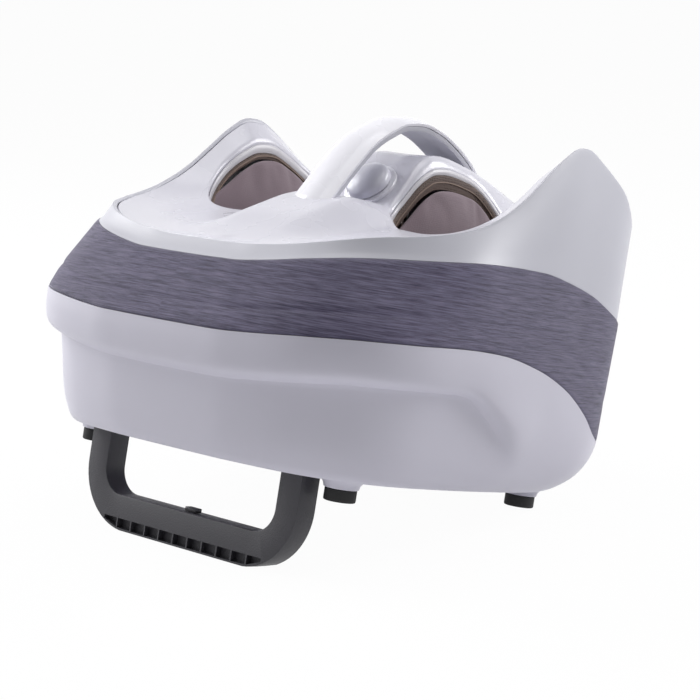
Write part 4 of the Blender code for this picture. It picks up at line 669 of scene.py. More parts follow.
def knit(name, rgb, spacing):
    """Brushed knit: a soft nap that catches light at its edge, with tiny stitches."""
    mat, tree, shader = new_finish(name, rgb, 0.78, {"Sheen Weight": 0.35, "Sheen Roughness": 0.4})
    where = machine_axes(tree)
    cloud = add(tree, "ShaderNodeTexNoise", {"Scale": 1 / (25 * MM), "Detail": 4}, {"Vector": where})
    tint(tree, shader, rgb, cloud.outputs["Fac"], 0.3, tuple(v * 0.6 for v in rgb))
    cells = add(tree, "ShaderNodeTexVoronoi", {"Scale": 1 / spacing, "Randomness": 0.4}, {"Vector": where})
    bump = add(tree, "ShaderNodeBump", {"Strength": 0.5, "Distance": 0.3 * MM},
               {"Height": cells.outputs["Distance"]})
    tree.links.new(bump.outputs["Normal"], shader.inputs["Normal"])
    return mat


def net(name, rgb, spacing):
    """Spacer mesh: round holes in a nylon net, each hole darkened with painted shade."""
    mat, tree, shader = new_finish(name, rgb, 0.7)
    where = machine_axes(tree)
    cells = add(tree, "ShaderNodeTexVoronoi", {"Scale": 1 / spacing, "Randomness": 0.15}, {"Vector": where})
    hole_and_shade = add(tree, "ShaderNodeMapRange", {"From Min": 0.22, "From Max": 0.42, "To Min": 1, "To Max": 0},
               {"Value": cells.outputs["Distance"]})
    # painted shade: the mesh's colour is darkened towards black inside each hole, where only shade falls
    tint(tree, shader, rgb, hole_and_shade.outputs["Result"], 0.75)
    bump = add(tree, "ShaderNodeBump", {"Strength": 0.8, "Distance": 0.5 * MM, "invert": True},
               {"Height": hole_and_shade.outputs["Result"]})
    tree.links.new(bump.outputs["Normal"], shader.inputs["Normal"])
    return mat


def metal(name, rgb, roughness):
    """Drawn or turned metal: fine lines along x that blur its reflection."""
    mat, tree, shader = new_finish(name, rgb, roughness, {"Metallic": 1})
    where = machine_axes(tree)
    lines = add(tree, "ShaderNodeMapping", {"Scale": (1 / (8 * MM), 1 / (0.3 * MM), 1 / (0.3 * MM))},
                {"Vector": where})
    noise = add(tree, "ShaderNodeTexNoise", {"Scale": 1, "Detail": 3}, {"Vector": lines.outputs["Vector"]})
    rough = add(tree, "ShaderNodeMapRange", {"To Min": roughness * 0.7, "To Max": roughness * 1.5},
                {"Value": noise.outputs["Fac"]})
    tree.links.new(rough.outputs["Result"], shader.inputs["Roughness"])
    bump = add(tree, "ShaderNodeBump", {"Strength": 0.4, "Distance": 0.05 * MM},
               {"Height": noise.outputs["Fac"]})
    tree.links.new(bump.outputs["Normal"], shader.inputs["Normal"])
    return mat


def seen_directly(tree):
    """1 for rays from the camera, mirror rays and rays through clear parts, else 0."""
    ray = add(tree, "ShaderNodeLightPath")
    first = add(tree, "ShaderNodeMath", {"operation": "MAXIMUM"},
                {0: ray.outputs["Is Camera Ray"], 1: ray.outputs["Is Transmission Ray"]})
    both = add(tree, "ShaderNodeMath", {"operation": "MAXIMUM"},
               {0: first.outputs[0], 1: ray.outputs["Is Glossy Ray"]})
    return both.outputs[0]


def stage_finish(name):
    """Pale floor that looks white to the camera and still takes the shadow."""
    mat = bpy.data.materials.new(name)
    mat.use_nodes = True
    tree = mat.node_tree
    tree.nodes.clear()
    out = add(tree, "ShaderNodeOutputMaterial")
    diffuse = add(tree, "ShaderNodeBsdfDiffuse", {"Color": (*tone("F4F4F6"), 1)})
    glow = add(tree, "ShaderNodeEmission", {"Color": (1, 1, 1, 1), "Strength": 1})
    share = add(tree, "ShaderNodeMath", {"operation": "MULTIPLY", 1: 0.97}, {0: seen_directly(tree)})
    mix = add(tree, "ShaderNodeMixShader", None,
              {0: share.outputs[0], 1: diffuse.outputs[0], 2: glow.outputs[0]})
    tree.links.new(mix.outputs[0], out.inputs["Surface"])
    return mat


class MASSAGER_OT_stage(bpy.types.Operator):
    """Floor, soft lamps, plain surroundings and the camera"""

    bl_idname = "massager.stage"
    bl_label = "Stage"

    CAMERA_PLACE = Vector((1.1597, -1.2959, 0.5091))
    CAMERA_AIM = Vector((0.0158, -0.0026, 0.1372))
    CAMERA_LENS = 104.02
    # name, place, aim, width, height, power in watts
    LAMPS = (
        ("left", (-2.1, -0.5, 1.3), (0, 0, 0.15), 1.2, 1.6, 54),
        ("right_back", (1.4, 1.9, 1.3), (0, 0, 0.15), 1.2, 1.2, 46),
        ("top", (0, 0.2, 2.4), (0, 0, 0.15), 1.6, 1.6, 22),
        ("key", (-0.9, -1.6, 1.9), (0, 0, 0.15), 1.3, 1.3, 4),
    )

    def execute(self, context):
        scene = context.scene
        scene.view_settings.view_transform = "Standard"
        deselect()
        bpy.ops.mesh.primitive_grid_add(x_subdivisions=2, y_subdivisions=2, size=60, location=(0, 0, 0))
        floor = context.object
        floor.name = "floor"
        floor.data.materials.append(stage_finish("pale_floor"))
        for name, place, aim, width, height, power in self.LAMPS:
            data = bpy.data.lights.new(name, "AREA")
            data.shape, data.size, data.size_y, data.energy = "RECTANGLE", width, height, power
            lamp = bpy.data.objects.new(name, data)
            scene.collection.objects.link(lamp)
            lamp.location = place
            lamp.rotation_euler = (Vector(aim) - Vector(place)).to_track_quat("-Z", "Y").to_euler()
        world = bpy.data.worlds.new("plain_surroundings")
        scene.world = world
        world.use_nodes = True
        tree = world.node_tree
        tree.nodes.clear()
        out = add(tree, "ShaderNodeOutputWorld")
        soft = add(tree, "ShaderNodeBackground", {"Color": (*tone("EEEEF2"), 1), "Strength": 0.15})
        white = add(tree, "ShaderNodeBackground", {"Color": (1, 1, 1, 1), "Strength": 1})
        mix = add(tree, "ShaderNodeMixShader", None,
                  {0: seen_directly(tree), 1: soft.outputs[0], 2: white.outputs[0]})
        tree.links.new(mix.outputs[0], out.inputs["Surface"])
        lens = bpy.data.cameras.new("camera")
        lens.lens = self.CAMERA_LENS
        camera = bpy.data.objects.new("camera", lens)
        scene.collection.objects.link(camera)
        camera.location = self.CAMERA_PLACE
        camera.rotation_euler = (self.CAMERA_AIM - self.CAMERA_PLACE).to_track_quat("-Z", "Y").to_euler()
        scene.camera = camera
        return {"FINISHED"}


class MASSAGER_OT_top_shell(bpy.types.Operator):
    """Glossy top with its ridge, wings and two wells"""

    bl_idname = "massager.top_shell"
    bl_label = "Top shell"

    def outer_loop(self, extra):
        """Plan of the half shell's edge: along the rim to the heel end, and back along the middle."""
        corner_at = {share: run for share, run in zip((p[1] for p in FINE_OUTLINE), OUTLINE_RUN)}
        toe = min(corner_at.items(), key=lambda item: abs(item[0] - OUTLINE_SHARES[4][1]))[1]
        heel = min(corner_at.items(), key=lambda item: abs(item[0] - OUTLINE_SHARES[10][1]))[1]
        half_corner = FRONT_CORNER_COUNT // 2
        toe_index = half_corner + FRONT_COUNT + half_corner
        heel_index = toe_index + half_corner + SIDE_COUNT + HEEL_CORNER_COUNT // 2
        end_index = heel_index + HEEL_CORNER_COUNT + HEEL_COUNT
        front = FRONT_Y + RIM_FRONT_INSET + extra
        rear = REAR_Y - RIM_REAR_INSET - extra
        half = HALF_WIDTH - RIM_SIDE_INSET - extra
        points = []
        for k in range(end_index):
            run = np.interp(k, (0, toe_index, heel_index, end_index), (0, toe, heel, OUTLINE_RUN[-1]))
            x, y = outline_at(run / OUTLINE_RUN[-1])
            points.append((x * (half + widening(y, RIM_TUCK, RIM_FLARE)), front + y * (rear - front)))
        back = HEEL_CORNER_COUNT // 2 + SIDE_COUNT + half_corner
        marks = (0, HEEL_CORNER_COUNT // 2, HEEL_CORNER_COUNT // 2 + SIDE_COUNT, back)
        stops = (rear, WELL_END - HEEL_CORNER, WELL_OPEN_START + WELL_RIDGE_LAG + WELL_CORNER, front)
        points.extend((0, float(np.interp(k, marks, stops))) for k in range(back))
        return points

    def execute(self, context):
        gap = SHELL_WALL + FIT
        roll = sizes().well_round
        rim = sizes().rim_round
        low = self.outer_loop(gap)
        edge = self.outer_loop(gap + rim)
        inner = well_loop(1, -roll, lambda x, y: 0)
        rings = [[Vector((x, y, top_height(x, y) - (rim * 1.6 if x > 0 else 0))) for x, y in low]]
        rings[0] = [p if p.x > 0 else Vector((0, q[1], top_height(0, q[1])))
                    for p, q in zip(rings[0], edge)]
        for k in range(SHELL_RING_COUNT):
            t = k / SHELL_RING_COUNT
            ring = []
            for (x, y), p in zip(edge, inner):
                px, py = x + (p.x - x) * t, y + (p.y - y) * t
                ring.append(Vector((px, py, top_height(px, py))))
            rings.append(ring)
        steps = 7
        for k in range(steps + 1):
            a = QUARTER_TURN * k / steps
            rings.append(well_loop(1, -roll * (1 - math.sin(a)), drop(roll * (1 - math.cos(a)))))
        rings.append(well_loop(1, 0, drop(roll * 2)))
        shell = loft("top_shell", rings)
        apply_modifier(shell, "MIRROR", use_axis=(True, False, False), merge_threshold=MERGE * 2)
        only(shell)
        bpy.ops.object.mode_set(mode="EDIT")
        bpy.ops.mesh.select_all(action="SELECT")
        bpy.ops.mesh.normals_make_consistent(inside=False)
        bpy.ops.object.mode_set(mode="OBJECT")
        if sum(face.normal.z for face in shell.data.polygons) < 0:
            shell.data.flip_normals()
        apply_modifier(shell, "SOLIDIFY", thickness=SHELL_SKIN, offset=-1)
        dress(shell, gloss_abs("polished_abs", tuple(colours().deck), 0.12), ["top_shell"],
              angle=50)
        return {"FINISHED"}


class MASSAGER_OT_side_wall(bpy.types.Operator):
    """Satin wall that rises from the woven band into the wings"""

    bl_idname = "massager.side_wall"
    bl_label = "Side wall"

    def execute(self, context):
        def at(share, extra, lift=0):
            """Ring at a share of the wall's height."""
            low = level(FABRIC_TOP_FRONT_INSET, FABRIC_TOP_SIDE_INSET, FABRIC_TOP_REAR_INSET,
                        lambda x, y: fabric_top(y) + FIT, FABRIC_WALL + extra, FABRIC_TOP_TUCK,
                        FABRIC_TOP_FLARE)
            high = level(RIM_FRONT_INSET, RIM_SIDE_INSET, RIM_REAR_INSET, lambda x, y: 0, extra,
                         RIM_TUCK, RIM_FLARE)
            toe, heel = curve_at(TOE_WALL_SHARES, share), curve_at(HEEL_WALL_SHARES, share)
            ring = []
            for (_, y), a, b in zip(OUTLINE, low, high):
                b.z = top_height(b.x, b.y)
                p = a + (b - a) * (toe + (heel - toe) * ease(y))
                p.z = a.z + (b.z - a.z) * share + lift
                ring.append(p)
            return ring

        count = 18
        rings = [at(0, 0.8 * MM, -0.6 * MM)]
        rings += [at(k / count, 0) for k in range(count)]
        rim = sizes().rim_round
        for k in range(5):
            a = QUARTER_TURN * k / 4
            rings.append(at(1, rim * (1 - math.cos(a)), -rim * (1 - math.sin(a))))
        for k in range(1, 4):
            a = QUARTER_TURN * k / 3
            rings.append(at(1, SHELL_WALL - rim * (1 - math.sin(a)), -rim * (1 - math.cos(a))))
        rings += [at(share, SHELL_WALL) for share in (0.8, 0.6, 0.4, 0.25, 0.1, 0)]
        wall = loft("side_wall", rings, closed=True)
        dress(wall, satin_abs("satin_abs", tuple(colours().wall), 0.36), ["side_collar"],
              angle=50)
        return {"FINISHED"}


class MASSAGER_OT_woven_band(bpy.types.Operator):
    """Heather band stretched round the body, with its long crease"""

    bl_idname = "massager.woven_band"
    bl_label = "Woven band"

    def execute(self, context):
        def at(share, extra):
            lean = curve_at(BAND_INSET_SHARES, share)
            crease = math.exp(-((share - 0.33) / 0.035) ** 2) * 1.1 * MM

            def height(x, y):
                return fabric_bottom(y) + (fabric_top(y) - fabric_bottom(y)) * share

            return level(FABRIC_TOP_FRONT_INSET * lean + crease, FABRIC_TOP_SIDE_INSET * lean + crease / 2,
                         FABRIC_TOP_REAR_INSET * lean, height, extra, FABRIC_TOP_TUCK * lean,
                         FABRIC_TOP_FLARE * lean)

        stops = [0, 0.012, 0.05, 0.12, 0.2, 0.25, 0.29, 0.31, 0.33, 0.35, 0.37, 0.41, 0.47, 0.55, 0.65, 0.75,
                 0.85, 0.93, 0.985, 1]
        tuck = 1.1 * MM
        rings = [at(share, tuck if share in (0, 1) else 0.25 * MM if share in (0.012, 0.985) else 0)
                 for share in stops]
        rings = [at(0, FABRIC_WALL)] + rings + [at(1, FABRIC_WALL)]
        band = loft("woven_band", rings)
        self.unwrap(band, len(rings))
        only(band)
        apply_modifier(band, "SOLIDIFY", thickness=BAND_SKIN, offset=-1)
        dress(band, heather_weave("heather_polyester"), ["fabric_band"], angle=60)
        return {"FINISHED"}

    def unwrap(self, band, count):
        """UV map in metres: along the band, and up it from its lower edge."""
        layer = band.data.uv_layers.new(name="band")
        run = np.concatenate([[0], np.cumsum([
            math.hypot((b[0] - a[0]) * HALF_WIDTH, (b[1] - a[1]) * BODY_DEPTH)
            for a, b in zip(OUTLINE, OUTLINE[1:] + OUTLINE[:1])])])
        angles = [math.atan2(x, -(y - 0.5)) % math.tau for x, y in OUTLINE] + [math.tau]
        for face in band.data.polygons:
            places = []
            for loop in face.loop_indices:
                p = FROM_WORLD @ band.data.vertices[band.data.loops[loop].vertex_index].co
                share = (p.y - FRONT_Y) / BODY_DEPTH
                angle = math.atan2(p.x / HALF_WIDTH, -(share - 0.5)) % math.tau
                places.append([float(np.interp(angle, angles, run)), p.z])
            if max(u for u, v in places) - min(u for u, v in places) > run[-1] / 2:
                places = [[u + run[-1] if u < run[-1] / 2 else u, v] for u, v in places]
            for loop, place in zip(face.loop_indices, places):
                layer.data[loop].uv = place


class MASSAGER_OT_lower_shell(bpy.types.Operator):
    """Lower shell with its overhanging lobe and rounded heel half"""

    bl_idname = "massager.lower_shell"
    bl_label = "Lower shell"

    def profile(self, y_share):
        """Insets and heights of the shell's face at one place along the body, top to bottom."""
        seam = fabric_bottom(y_share)
        lobe = curve_at(LOBE_BOTTOM_SHARES, y_share) * WING_TOP
        toe = [(0, seam - FIT), (0, seam - (seam - lobe) * LOBE_WALL_SHARE)]
        toe += [(LOBE_TUCK * a, lobe + LOBE_ROUND * b) for a, b in LOBE_ROUND_SHARES]
        toe += [(LOBE_TUCK * a, UNDERSIDE + (lobe - UNDERSIDE) * b) for a, b in TOE_SECTION_SHARES]
        toe += [(SILL_INSET * SILL_ROUND_SHARES[0],
                 UNDERSIDE + (lobe - UNDERSIDE) * SILL_ROUND_SHARES[1]), (SILL_INSET, UNDERSIDE)]
        heel = [(SILL_INSET * a, UNDERSIDE + (seam - FIT - UNDERSIDE) * b) for a, b in HEEL_SECTION_SHARES]
        highest = max(p[1] for p in LOBE_BOTTOM_SHARES) * WING_TOP
        lowest = min(p[1] for p in LOBE_BOTTOM_SHARES) * WING_TOP
        w = ease((highest - lobe) / (highest - lowest) / LOBE_FADE_SHARE)
        return [(a[0] + (b[0] - a[0]) * w, a[1] + (b[1] - a[1]) * w) for a, b in zip(toe, heel)]

    def execute(self, context):
        columns = []
        for x, y in OUTLINE:
            column = []
            for inset, z in catmull(self.profile(y), 4):
                front, rear, half = FRONT_Y + inset, REAR_Y - inset, HALF_WIDTH - inset
                column.append(Vector((x * half, front + y * (rear - front), z)))
            columns.append(column)
        rings = [list(ring) for ring in zip(*columns)]
        shell = loft("lower_shell", rings)
        apply_modifier(shell, "SOLIDIFY", thickness=LOWER_SKIN, offset=-1)
        dress(shell, satin_abs("lilac_abs", tuple(colours().lower), 0.4), ["lower_shell"],
              angle=60)
        return {"FINISHED"}


class MASSAGER_OT_handle(bpy.types.Operator):
    """Crowned carry handle over the ridge, with the seam of its inner half"""

    bl_idname = "massager.handle"
    bl_label = "Handle"

    def path(self, share, depth):
        """Point pushed in from the arch of the handle's outer face."""
        def at(s):
            return Vector((0, HANDLE_START + HANDLE_LENGTH * s, curve_at(HANDLE_SHARES, s) * HANDLE_TOP))

        step = 0.02
        ahead = at(min(share + step, 1)) - at(max(share - step, 0))
        normal = Vector((0, -ahead.z, ahead.y)).normalized()
        return at(share) - normal * depth

    def strap(self, name, outer, inner, half, finish, slot, node):
        """Closed strap between two depths that change across its width."""
        stations, across = 64, 20
        rings = []
        for k in range(stations + 1):
            share = k / stations
            ring = []
            for j in range(across + 1):
                u = math.sin(QUARTER_TURN * (2 * j / across - 1))
                p = self.path(share, outer(u))
                ring.append(Vector((u * half, p.y, p.z)))
            for j in range(across, -1, -1):
                u = math.sin(QUARTER_TURN * (2 * j / across - 1))
                p = self.path(share, inner(u))
                ring.append(Vector((u * (half - 0.8 * MM), p.y, p.z)))
            rings.append(ring)
        piece = loft(name, rings, caps=True)
        apply_modifier(piece, "BEVEL", width=0.8 * MM, segments=2, angle_limit=math.radians(50))
        dress(piece, finish, [node], angle=60)

    def execute(self, context):
        crown = sizes().handle_crown

        def cover_out(u):
            return crown * abs(u) ** 2.3

        def cover_in(u):
            return cover_out(u) + HANDLE_COVER_WALL

        def grip_in(u):
            return max(HANDLE_DEPTH - 2 * MM + 2 * MM * abs(u), cover_in(u) + 1.2 * MM)

        self.strap("handle_cover", cover_out, cover_in, HANDLE_HALF_WIDTH,
                   gloss_abs("handle_abs", tuple(colours().top)), "gloss_white", "handle_cover")
        self.strap("handle_grip", lambda u: cover_in(u) + FIT, grip_in, HANDLE_HALF_WIDTH - 1.2 * MM,
                   satin_abs("grip_abs", tuple(colours().wall), 0.45), "satin_white", "handle_grip")
        return {"FINISHED"}


class MASSAGER_OT_dial(bpy.types.Operator):
    """Domed knob and the ring that it sits on"""

    bl_idname = "massager.dial"
    bl_label = "Dial"

    def execute(self, context):
        place = LEAN @ DIAL_MATRIX
        low, top, dome = 3.6 * MM, 16.6 * MM, 8.5 * MM
        profile = [(3 * MM, low), (DIAL_RADIUS - 1 * MM, low), (DIAL_RADIUS, low + 1 * MM)]
        profile += [(DIAL_RADIUS - 0.5 * MM, top - dome)]
        steps = 14
        for k in range(1, steps + 1):
            a = QUARTER_TURN * k / steps
            profile.append(((DIAL_RADIUS - 0.5 * MM) * math.cos(a), top - dome + dome * math.sin(a)))
        profile[-1] = (0, top)
        profile = [(0, low)] + profile
        knob = turned("dial_knob", profile, place)
        dress(knob, satin_abs("dial_abs", tuple(colours().dial), 0.3), ["dial_knob"], "dial")
        outer, height = DIAL_RADIUS + 4 * MM, 3 * MM
        ring = turned("dial_ring", [(0, -2 * MM), (outer, -2 * MM), (outer, height - 1 * MM),
                                    (outer - 0.3 * MM, height - 0.3 * MM), (outer - 1 * MM, height),
                                    (0, height)], place)
        dress(ring, gloss_abs("ring_abs", tuple(colours().top)), ["dial_ring"])
        return {"FINISHED"}


class MASSAGER_OT_well_trim(bpy.types.Operator):
    """Lip, mesh strip and sewn piping round each well"""

    bl_idname = "massager.well_trim"
    bl_label = "Well trim"

    # inset in mm, share of the lip's height, share of the mesh strip's height
    LIP = [(0.4, 0.9, 0), (0.4, 0.42, 0), (0.8, 0.38, 0), (1.3, 0.39, 0), (1.9, 0.46, 0), (2.4, 0.66, 0),
           (2.8, 0.9, 0), (2.6, 1, 0), (1.4, 1, 0)]
    STRIP = [(2, 1.03, 0), (3, 1.02, 0), (3.8, 1.02, 0.08), (4.3, 1.02, 0.3), (4.5, 1.02, 0.65),
             (4.3, 1.02, 1), (2.4, 1.02, 1)]
    # the cord's radius and inset in mm, and the shares of the heights that its middle hangs at
    PIPING_RADIUS = 0.8
    PIPING_INSET = 4.5
    PIPING_LIP_SHARE, PIPING_STRIP_SHARE = 1.02, 0.5

    def section(self, name, side, points, finish, slot, nodes=()):
        """Ring-shaped piece round a well from a closed section."""
        rings = [trim_ring(side, inset * MM, *levels) for inset, *levels in points]
        return dress(loft(name, rings, closed=True), finish, nodes, angle=60)

    def execute(self, context):
        lip = satin_abs("lip_abs", tuple(colours().lip), 0.34)
        mesh = net("spacer_mesh", tuple(colours().net), sizes().net)
        cord = knit("piping_cord", tuple(colours().piping), 0.8 * MM)
        angles = [math.tau * k / 10 for k in range(10)]
        radius = self.PIPING_RADIUS
        piping = [(self.PIPING_INSET + radius * math.cos(a), self.PIPING_LIP_SHARE,
                   self.PIPING_STRIP_SHARE, radius * MM * math.sin(-a)) for a in angles]
        for side, word in ((-1, "left"), (1, "right")):
            self.section(f"well_lip_{word}", side, self.LIP, lip, "warm_white", [f"well_lip_{word}"])
            self.section(f"mesh_strip_{word}", side, self.STRIP, mesh, "brown_mesh", [f"mesh_strip_{word}"])
            self.section(f"piping_{word}", side, piping, cord, "mauve_fabric")
        return {"FINISHED"}


class MASSAGER_OT_well_liner(bpy.types.Operator):
    """Padded lining of each well"""

    bl_idname = "massager.well_liner"
    bl_label = "Well liner"

    WALL = LINER_INSET + 0.4 * MM
    FLOOR = LINER_FLOOR + 8 * MM
    # how far the pad stands in from its back, in mm, and its height as a share from the floor to the top
    PAD_SECTION = [(0, 0.1), (0, 0.35), (0, 0.6), (0, 0.85), (0.3, 0.96), (1.6, 0.99), (3.8, 1), (6, 0.993),
                   (7.8, 0.975), (9, 0.945)]
    PAD_SHARES = (0.9, 0.84, 0.77, 0.7, 0.62, 0.54, 0.46, 0.38, 0.3, 0.22, 0.14, 0.07)
    HELD = 2.5 * MM
    FRAMES = 20
    MOST_SWELL = 4 * MM

    def execute(self, context):
        finish = knit("padded_knit", tuple(colours().liner), 1.6 * MM)
        for side, word in ((-1, "left"), (1, "right")):
            piece = self.tub(f"well_liner_{word}", side)
            self.pad(piece, side)
            apply_modifier(piece, "SUBSURF", levels=1, render_levels=1)
            bpy.ops.object.mode_set(mode="EDIT")
            bpy.ops.mesh.select_all(action="SELECT")
            bpy.ops.mesh.fill_holes(sides=0)
            bpy.ops.mesh.normals_make_consistent(inside=False)
            bpy.ops.object.mode_set(mode="OBJECT")
            dress(piece, finish, [f"well_liner_{word}"], angle=70)
        return {"FINISHED"}

    def tub(self, name, side):
        """Lining before it is padded: back, rolled top edge, swelling face and floor."""
        def flat(inset, height):
            return well_loop(side, inset, lambda x, y: height, tub=True)

        def between(inset, share):
            ring = trim_ring(side, self.WALL + inset, 1, 1, tub=True)
            for p in ring:
                p.z = self.FLOOR + (p.z - self.FLOOR) * share
            return ring

        swell = sizes().liner_swell
        rings = [flat(self.WALL * 7, LINER_FLOOR), flat(self.WALL + 3 * MM, LINER_FLOOR)]
        rings += [between(inset * MM, share) for inset, share in self.PAD_SECTION]
        for share in self.PAD_SHARES:
            bulge = swell * math.sin(math.pi * min(1, (1 - share) * 1.1)) ** 0.8
            rings.append(between(9.4 * MM + bulge, share))
        rings += [between(14 * MM, 0), flat(self.WALL * 5, self.FLOOR),
                  flat(self.WALL * 7.4, self.FLOOR + 1 * MM)]
        return loft(name, rings)

    def pad(self, piece, side):
        """Let the lining's face puff up between its back and its floor, which are held."""
        start = [v.co.copy() for v in piece.data.vertices]
        places = np.array([FROM_WORLD @ co for co in start])
        edge = np.array([p.xy for p in well_loop(side, self.WALL, lambda x, y: 0, tub=True)])
        steps = places[:, None, :2] - edge[None, :, :]
        away = np.min(np.hypot(steps[..., 0], steps[..., 1]), 1)
        held = (away < self.HELD) | (places[:, 2] < self.FLOOR + self.HELD)
        group = piece.vertex_groups.new(name="held")
        group.add([int(k) for k in np.flatnonzero(held)], 1, "REPLACE")
        only(piece)
        cloth = piece.modifiers.new("Cloth", "CLOTH")
        cloth.settings.quality = 5
        cloth.settings.vertex_group_mass = "held"
        cloth.settings.use_pressure = True
        cloth.settings.uniform_pressure_force = 4
        cloth.settings.effector_weights.gravity = 0
        cloth.point_cache.frame_end = self.FRAMES
        for number in range(1, self.FRAMES + 1):
            bpy.context.scene.frame_set(number)
        bpy.ops.object.modifier_apply(modifier=cloth.name)
        bpy.context.scene.frame_set(1)
        for vert, old in zip(piece.data.vertices, start):
            move = vert.co - old
            if move.length > self.MOST_SWELL:
                vert.co = old + move * (self.MOST_SWELL / move.length)
        piece.vertex_groups.clear()


class MASSAGER_OT_air_cushions(bpy.types.Operator):
    """Air cushions behind the lining"""

    bl_idname = "massager.air_cushions"
    bl_label = "Air cushions"

    UNDER_DECK = 6 * MM

    def execute(self, context):
        finish = moulded("cast_silicone", tone("D8D4C8"), 0.5, 2 * MM, 0.03 * MM)
        for kind in ("instep", "ankle"):
            for word in ("left", "right"):
                node = f"{kind}_cushion_{word}"
                piece = merged_copy(node, node)
                for vert in piece.data.vertices:
                    place = FROM_WORLD @ vert.co
                    place.z = min(place.z, top_height(place.x, place.y) - self.UNDER_DECK)
                    vert.co = LEAN @ place
                apply_modifier(piece, "SUBSURF", levels=2, render_levels=2)
                dress(piece, finish, [node], angle=70)
        return {"FINISHED"}


class MASSAGER_OT_stand(bpy.types.Operator):
    """Fold-out stand: a U loop with a row of pockets in its bar, and its latch nub"""

    bl_idname = "massager.stand"
    bl_label = "Stand"

    LEG, BAR = 23 * MM, 30 * MM
    OUTER_CORNER, INNER_CORNER = 54 * MM, 22 * MM
    POCKET_COUNT = 11
    POCKET_RIB, POCKET_DEPTH, POCKET_FLOOR, POCKET_HEIGHT = 1.4 * MM, 6 * MM, 1.8 * MM, 10.5 * MM
    ROW_SHARE = 0.55

    def edge(self, half, bottom, corner):
        """Points of the loop's outer or inner edge, from the left hinge to the right one."""
        points = []
        legs, turns, bars = 6, 18, 12
        points += [(-half, HINGE_IN_MACHINE.z * (1 - k / legs) + (bottom + corner) * k / legs)
                   for k in range(legs)]
        for side, start in ((-1, math.pi), (1, -QUARTER_TURN)):
            for k in range(turns + 1):
                a = start + QUARTER_TURN * k / turns
                points.append((side * (half - corner) + corner * math.cos(a),
                               bottom + corner + corner * math.sin(a)))
            if side < 0:
                points += [((half - corner) * (2 * k / bars - 1), bottom) for k in range(1, bars)]
        points += [(-x, z) for x, z in points[:legs][::-1]]
        return points

    def execute(self, context):
        finish = moulded("glass_filled_nylon", tuple(colours().stand), 0.5, 1.3 * MM, 0.25 * MM, vary=0.25)
        low, high = reach("stand")
        middle, half = (low.y + high.y) / 2, (high.y - low.y) / 2
        outer = self.edge(STAND_HALF_WIDTH, low.z, self.OUTER_CORNER)
        inner = self.edge(STAND_HALF_WIDTH - self.LEG, low.z + self.BAR, self.INNER_CORNER)

        def ring(a, b, thick, lift=0):
            return [Vector((x, middle + y * thick, z + lift))
                    for (x, z), y in ((a, -1), (a, 1), (b, 1), (b, -1))]

        rounding = [math.radians(angle) for angle in (80, 60, 40, 20)]
        rings = [ring(outer[0], inner[0], half * math.cos(a), half * math.sin(a)) for a in rounding]
        rings += [ring(a, b, half) for a, b in zip(outer, inner)]
        rings += [ring(outer[-1], inner[-1], half * math.cos(a), half * math.sin(a))
                  for a in reversed(rounding)]
        stand = loft("stand_loop", rings, caps=True)
        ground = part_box("stand")[0][2]
        only(stand)
        bpy.ops.object.mode_set(mode="EDIT")
        bpy.ops.mesh.select_all(action="SELECT")
        bpy.ops.mesh.bisect(plane_co=(0, 0, ground), plane_no=(0, 0, 1), use_fill=True, clear_inner=True)
        bpy.ops.object.mode_set(mode="OBJECT")
        apply_modifier(stand, "BEVEL", width=1.1 * MM, segments=2, angle_limit=math.radians(40))
        row = STAND_HALF_WIDTH - self.OUTER_CORNER * self.ROW_SHARE
        pitch = (2 * row + self.POCKET_RIB) / self.POCKET_COUNT
        pockets = []
        for k in range(self.POCKET_COUNT):
            x = -row + pitch * k
            pockets.append((Vector((x, low.y - 1 * MM, low.z + self.POCKET_FLOOR)),
                            Vector((x + pitch - self.POCKET_RIB, low.y + self.POCKET_DEPTH,
                                    low.z + self.POCKET_HEIGHT))))

        def pocket_ground(x):
            """Height of the loop's outer edge at a place along its bar, with the pockets' floor on it."""
            past = min(max(abs(x) - (STAND_HALF_WIDTH - self.OUTER_CORNER), 0), self.OUTER_CORNER)
            rise = self.OUTER_CORNER - math.sqrt(self.OUTER_CORNER ** 2 - past ** 2)
            return low.z + rise + self.POCKET_FLOOR

        carve(stand, pockets, pocket_ground)
        dress(stand, finish, ["stand"], "fold_out_stand")
        latch = merged_copy("stand_latch", "latch_nub")
        apply_modifier(latch, "BEVEL", width=0.5 * MM, segments=2, angle_limit=math.radians(40))
        dress(latch, finish, ["stand_latch"], "fold_out_stand")
        return {"FINISHED"}


class MASSAGER_OT_feet(bpy.types.Operator):
    """Four rubber feet and the tapered bosses that join them to the bottom plate"""

    bl_idname = "massager.feet"
    bl_label = "Feet"

    # radius and height above the foot, in mm, of the tapered skirt that joins it to the plate
    SKIRT = [(12, 0.4), (13.6, 0.4), (14.2, 1), (14.9, 3.5), (16.2, 5.6), (18.6, 7.4), (18.6, 8.4),
             (12, 8.4), (12, 0.4)]

    def execute(self, context):
        rubber = moulded("black_rubber", tone("161618"), 0.75, 1.2 * MM, 0.08 * MM)
        plastic = satin_abs("boss_abs", tuple(colours().lower), 0.4)
        radius, height, chamfer = 13 * MM, 10 * MM, 1.5 * MM
        profile = [(0, 0.3 * MM), (radius - 5 * MM, 0.3 * MM), (radius - 4.4 * MM, 0),
                   (radius - chamfer, 0), (radius - 0.4 * MM, 0.4 * MM), (radius, chamfer),
                   (radius, height - 0.3 * MM), (0, height - 0.3 * MM)]
        for word in ("toe_left", "toe_right", "heel_left", "heel_right"):
            low, high = reach(f"rubber_foot_{word}")
            place = Matrix.Translation(((low.x + high.x) / 2, (low.y + high.y) / 2, low.z))
            foot = turned(f"foot_{word}", profile, LEAN @ place, 48)
            dress(foot, rubber, [f"rubber_foot_{word}"])
            skirt = [(r * MM, height + z * MM) for r, z in self.SKIRT]
            boss = turned(f"foot_boss_{word}", skirt, LEAN @ place, 48)
            dress(boss, plastic)
        return {"FINISHED"}


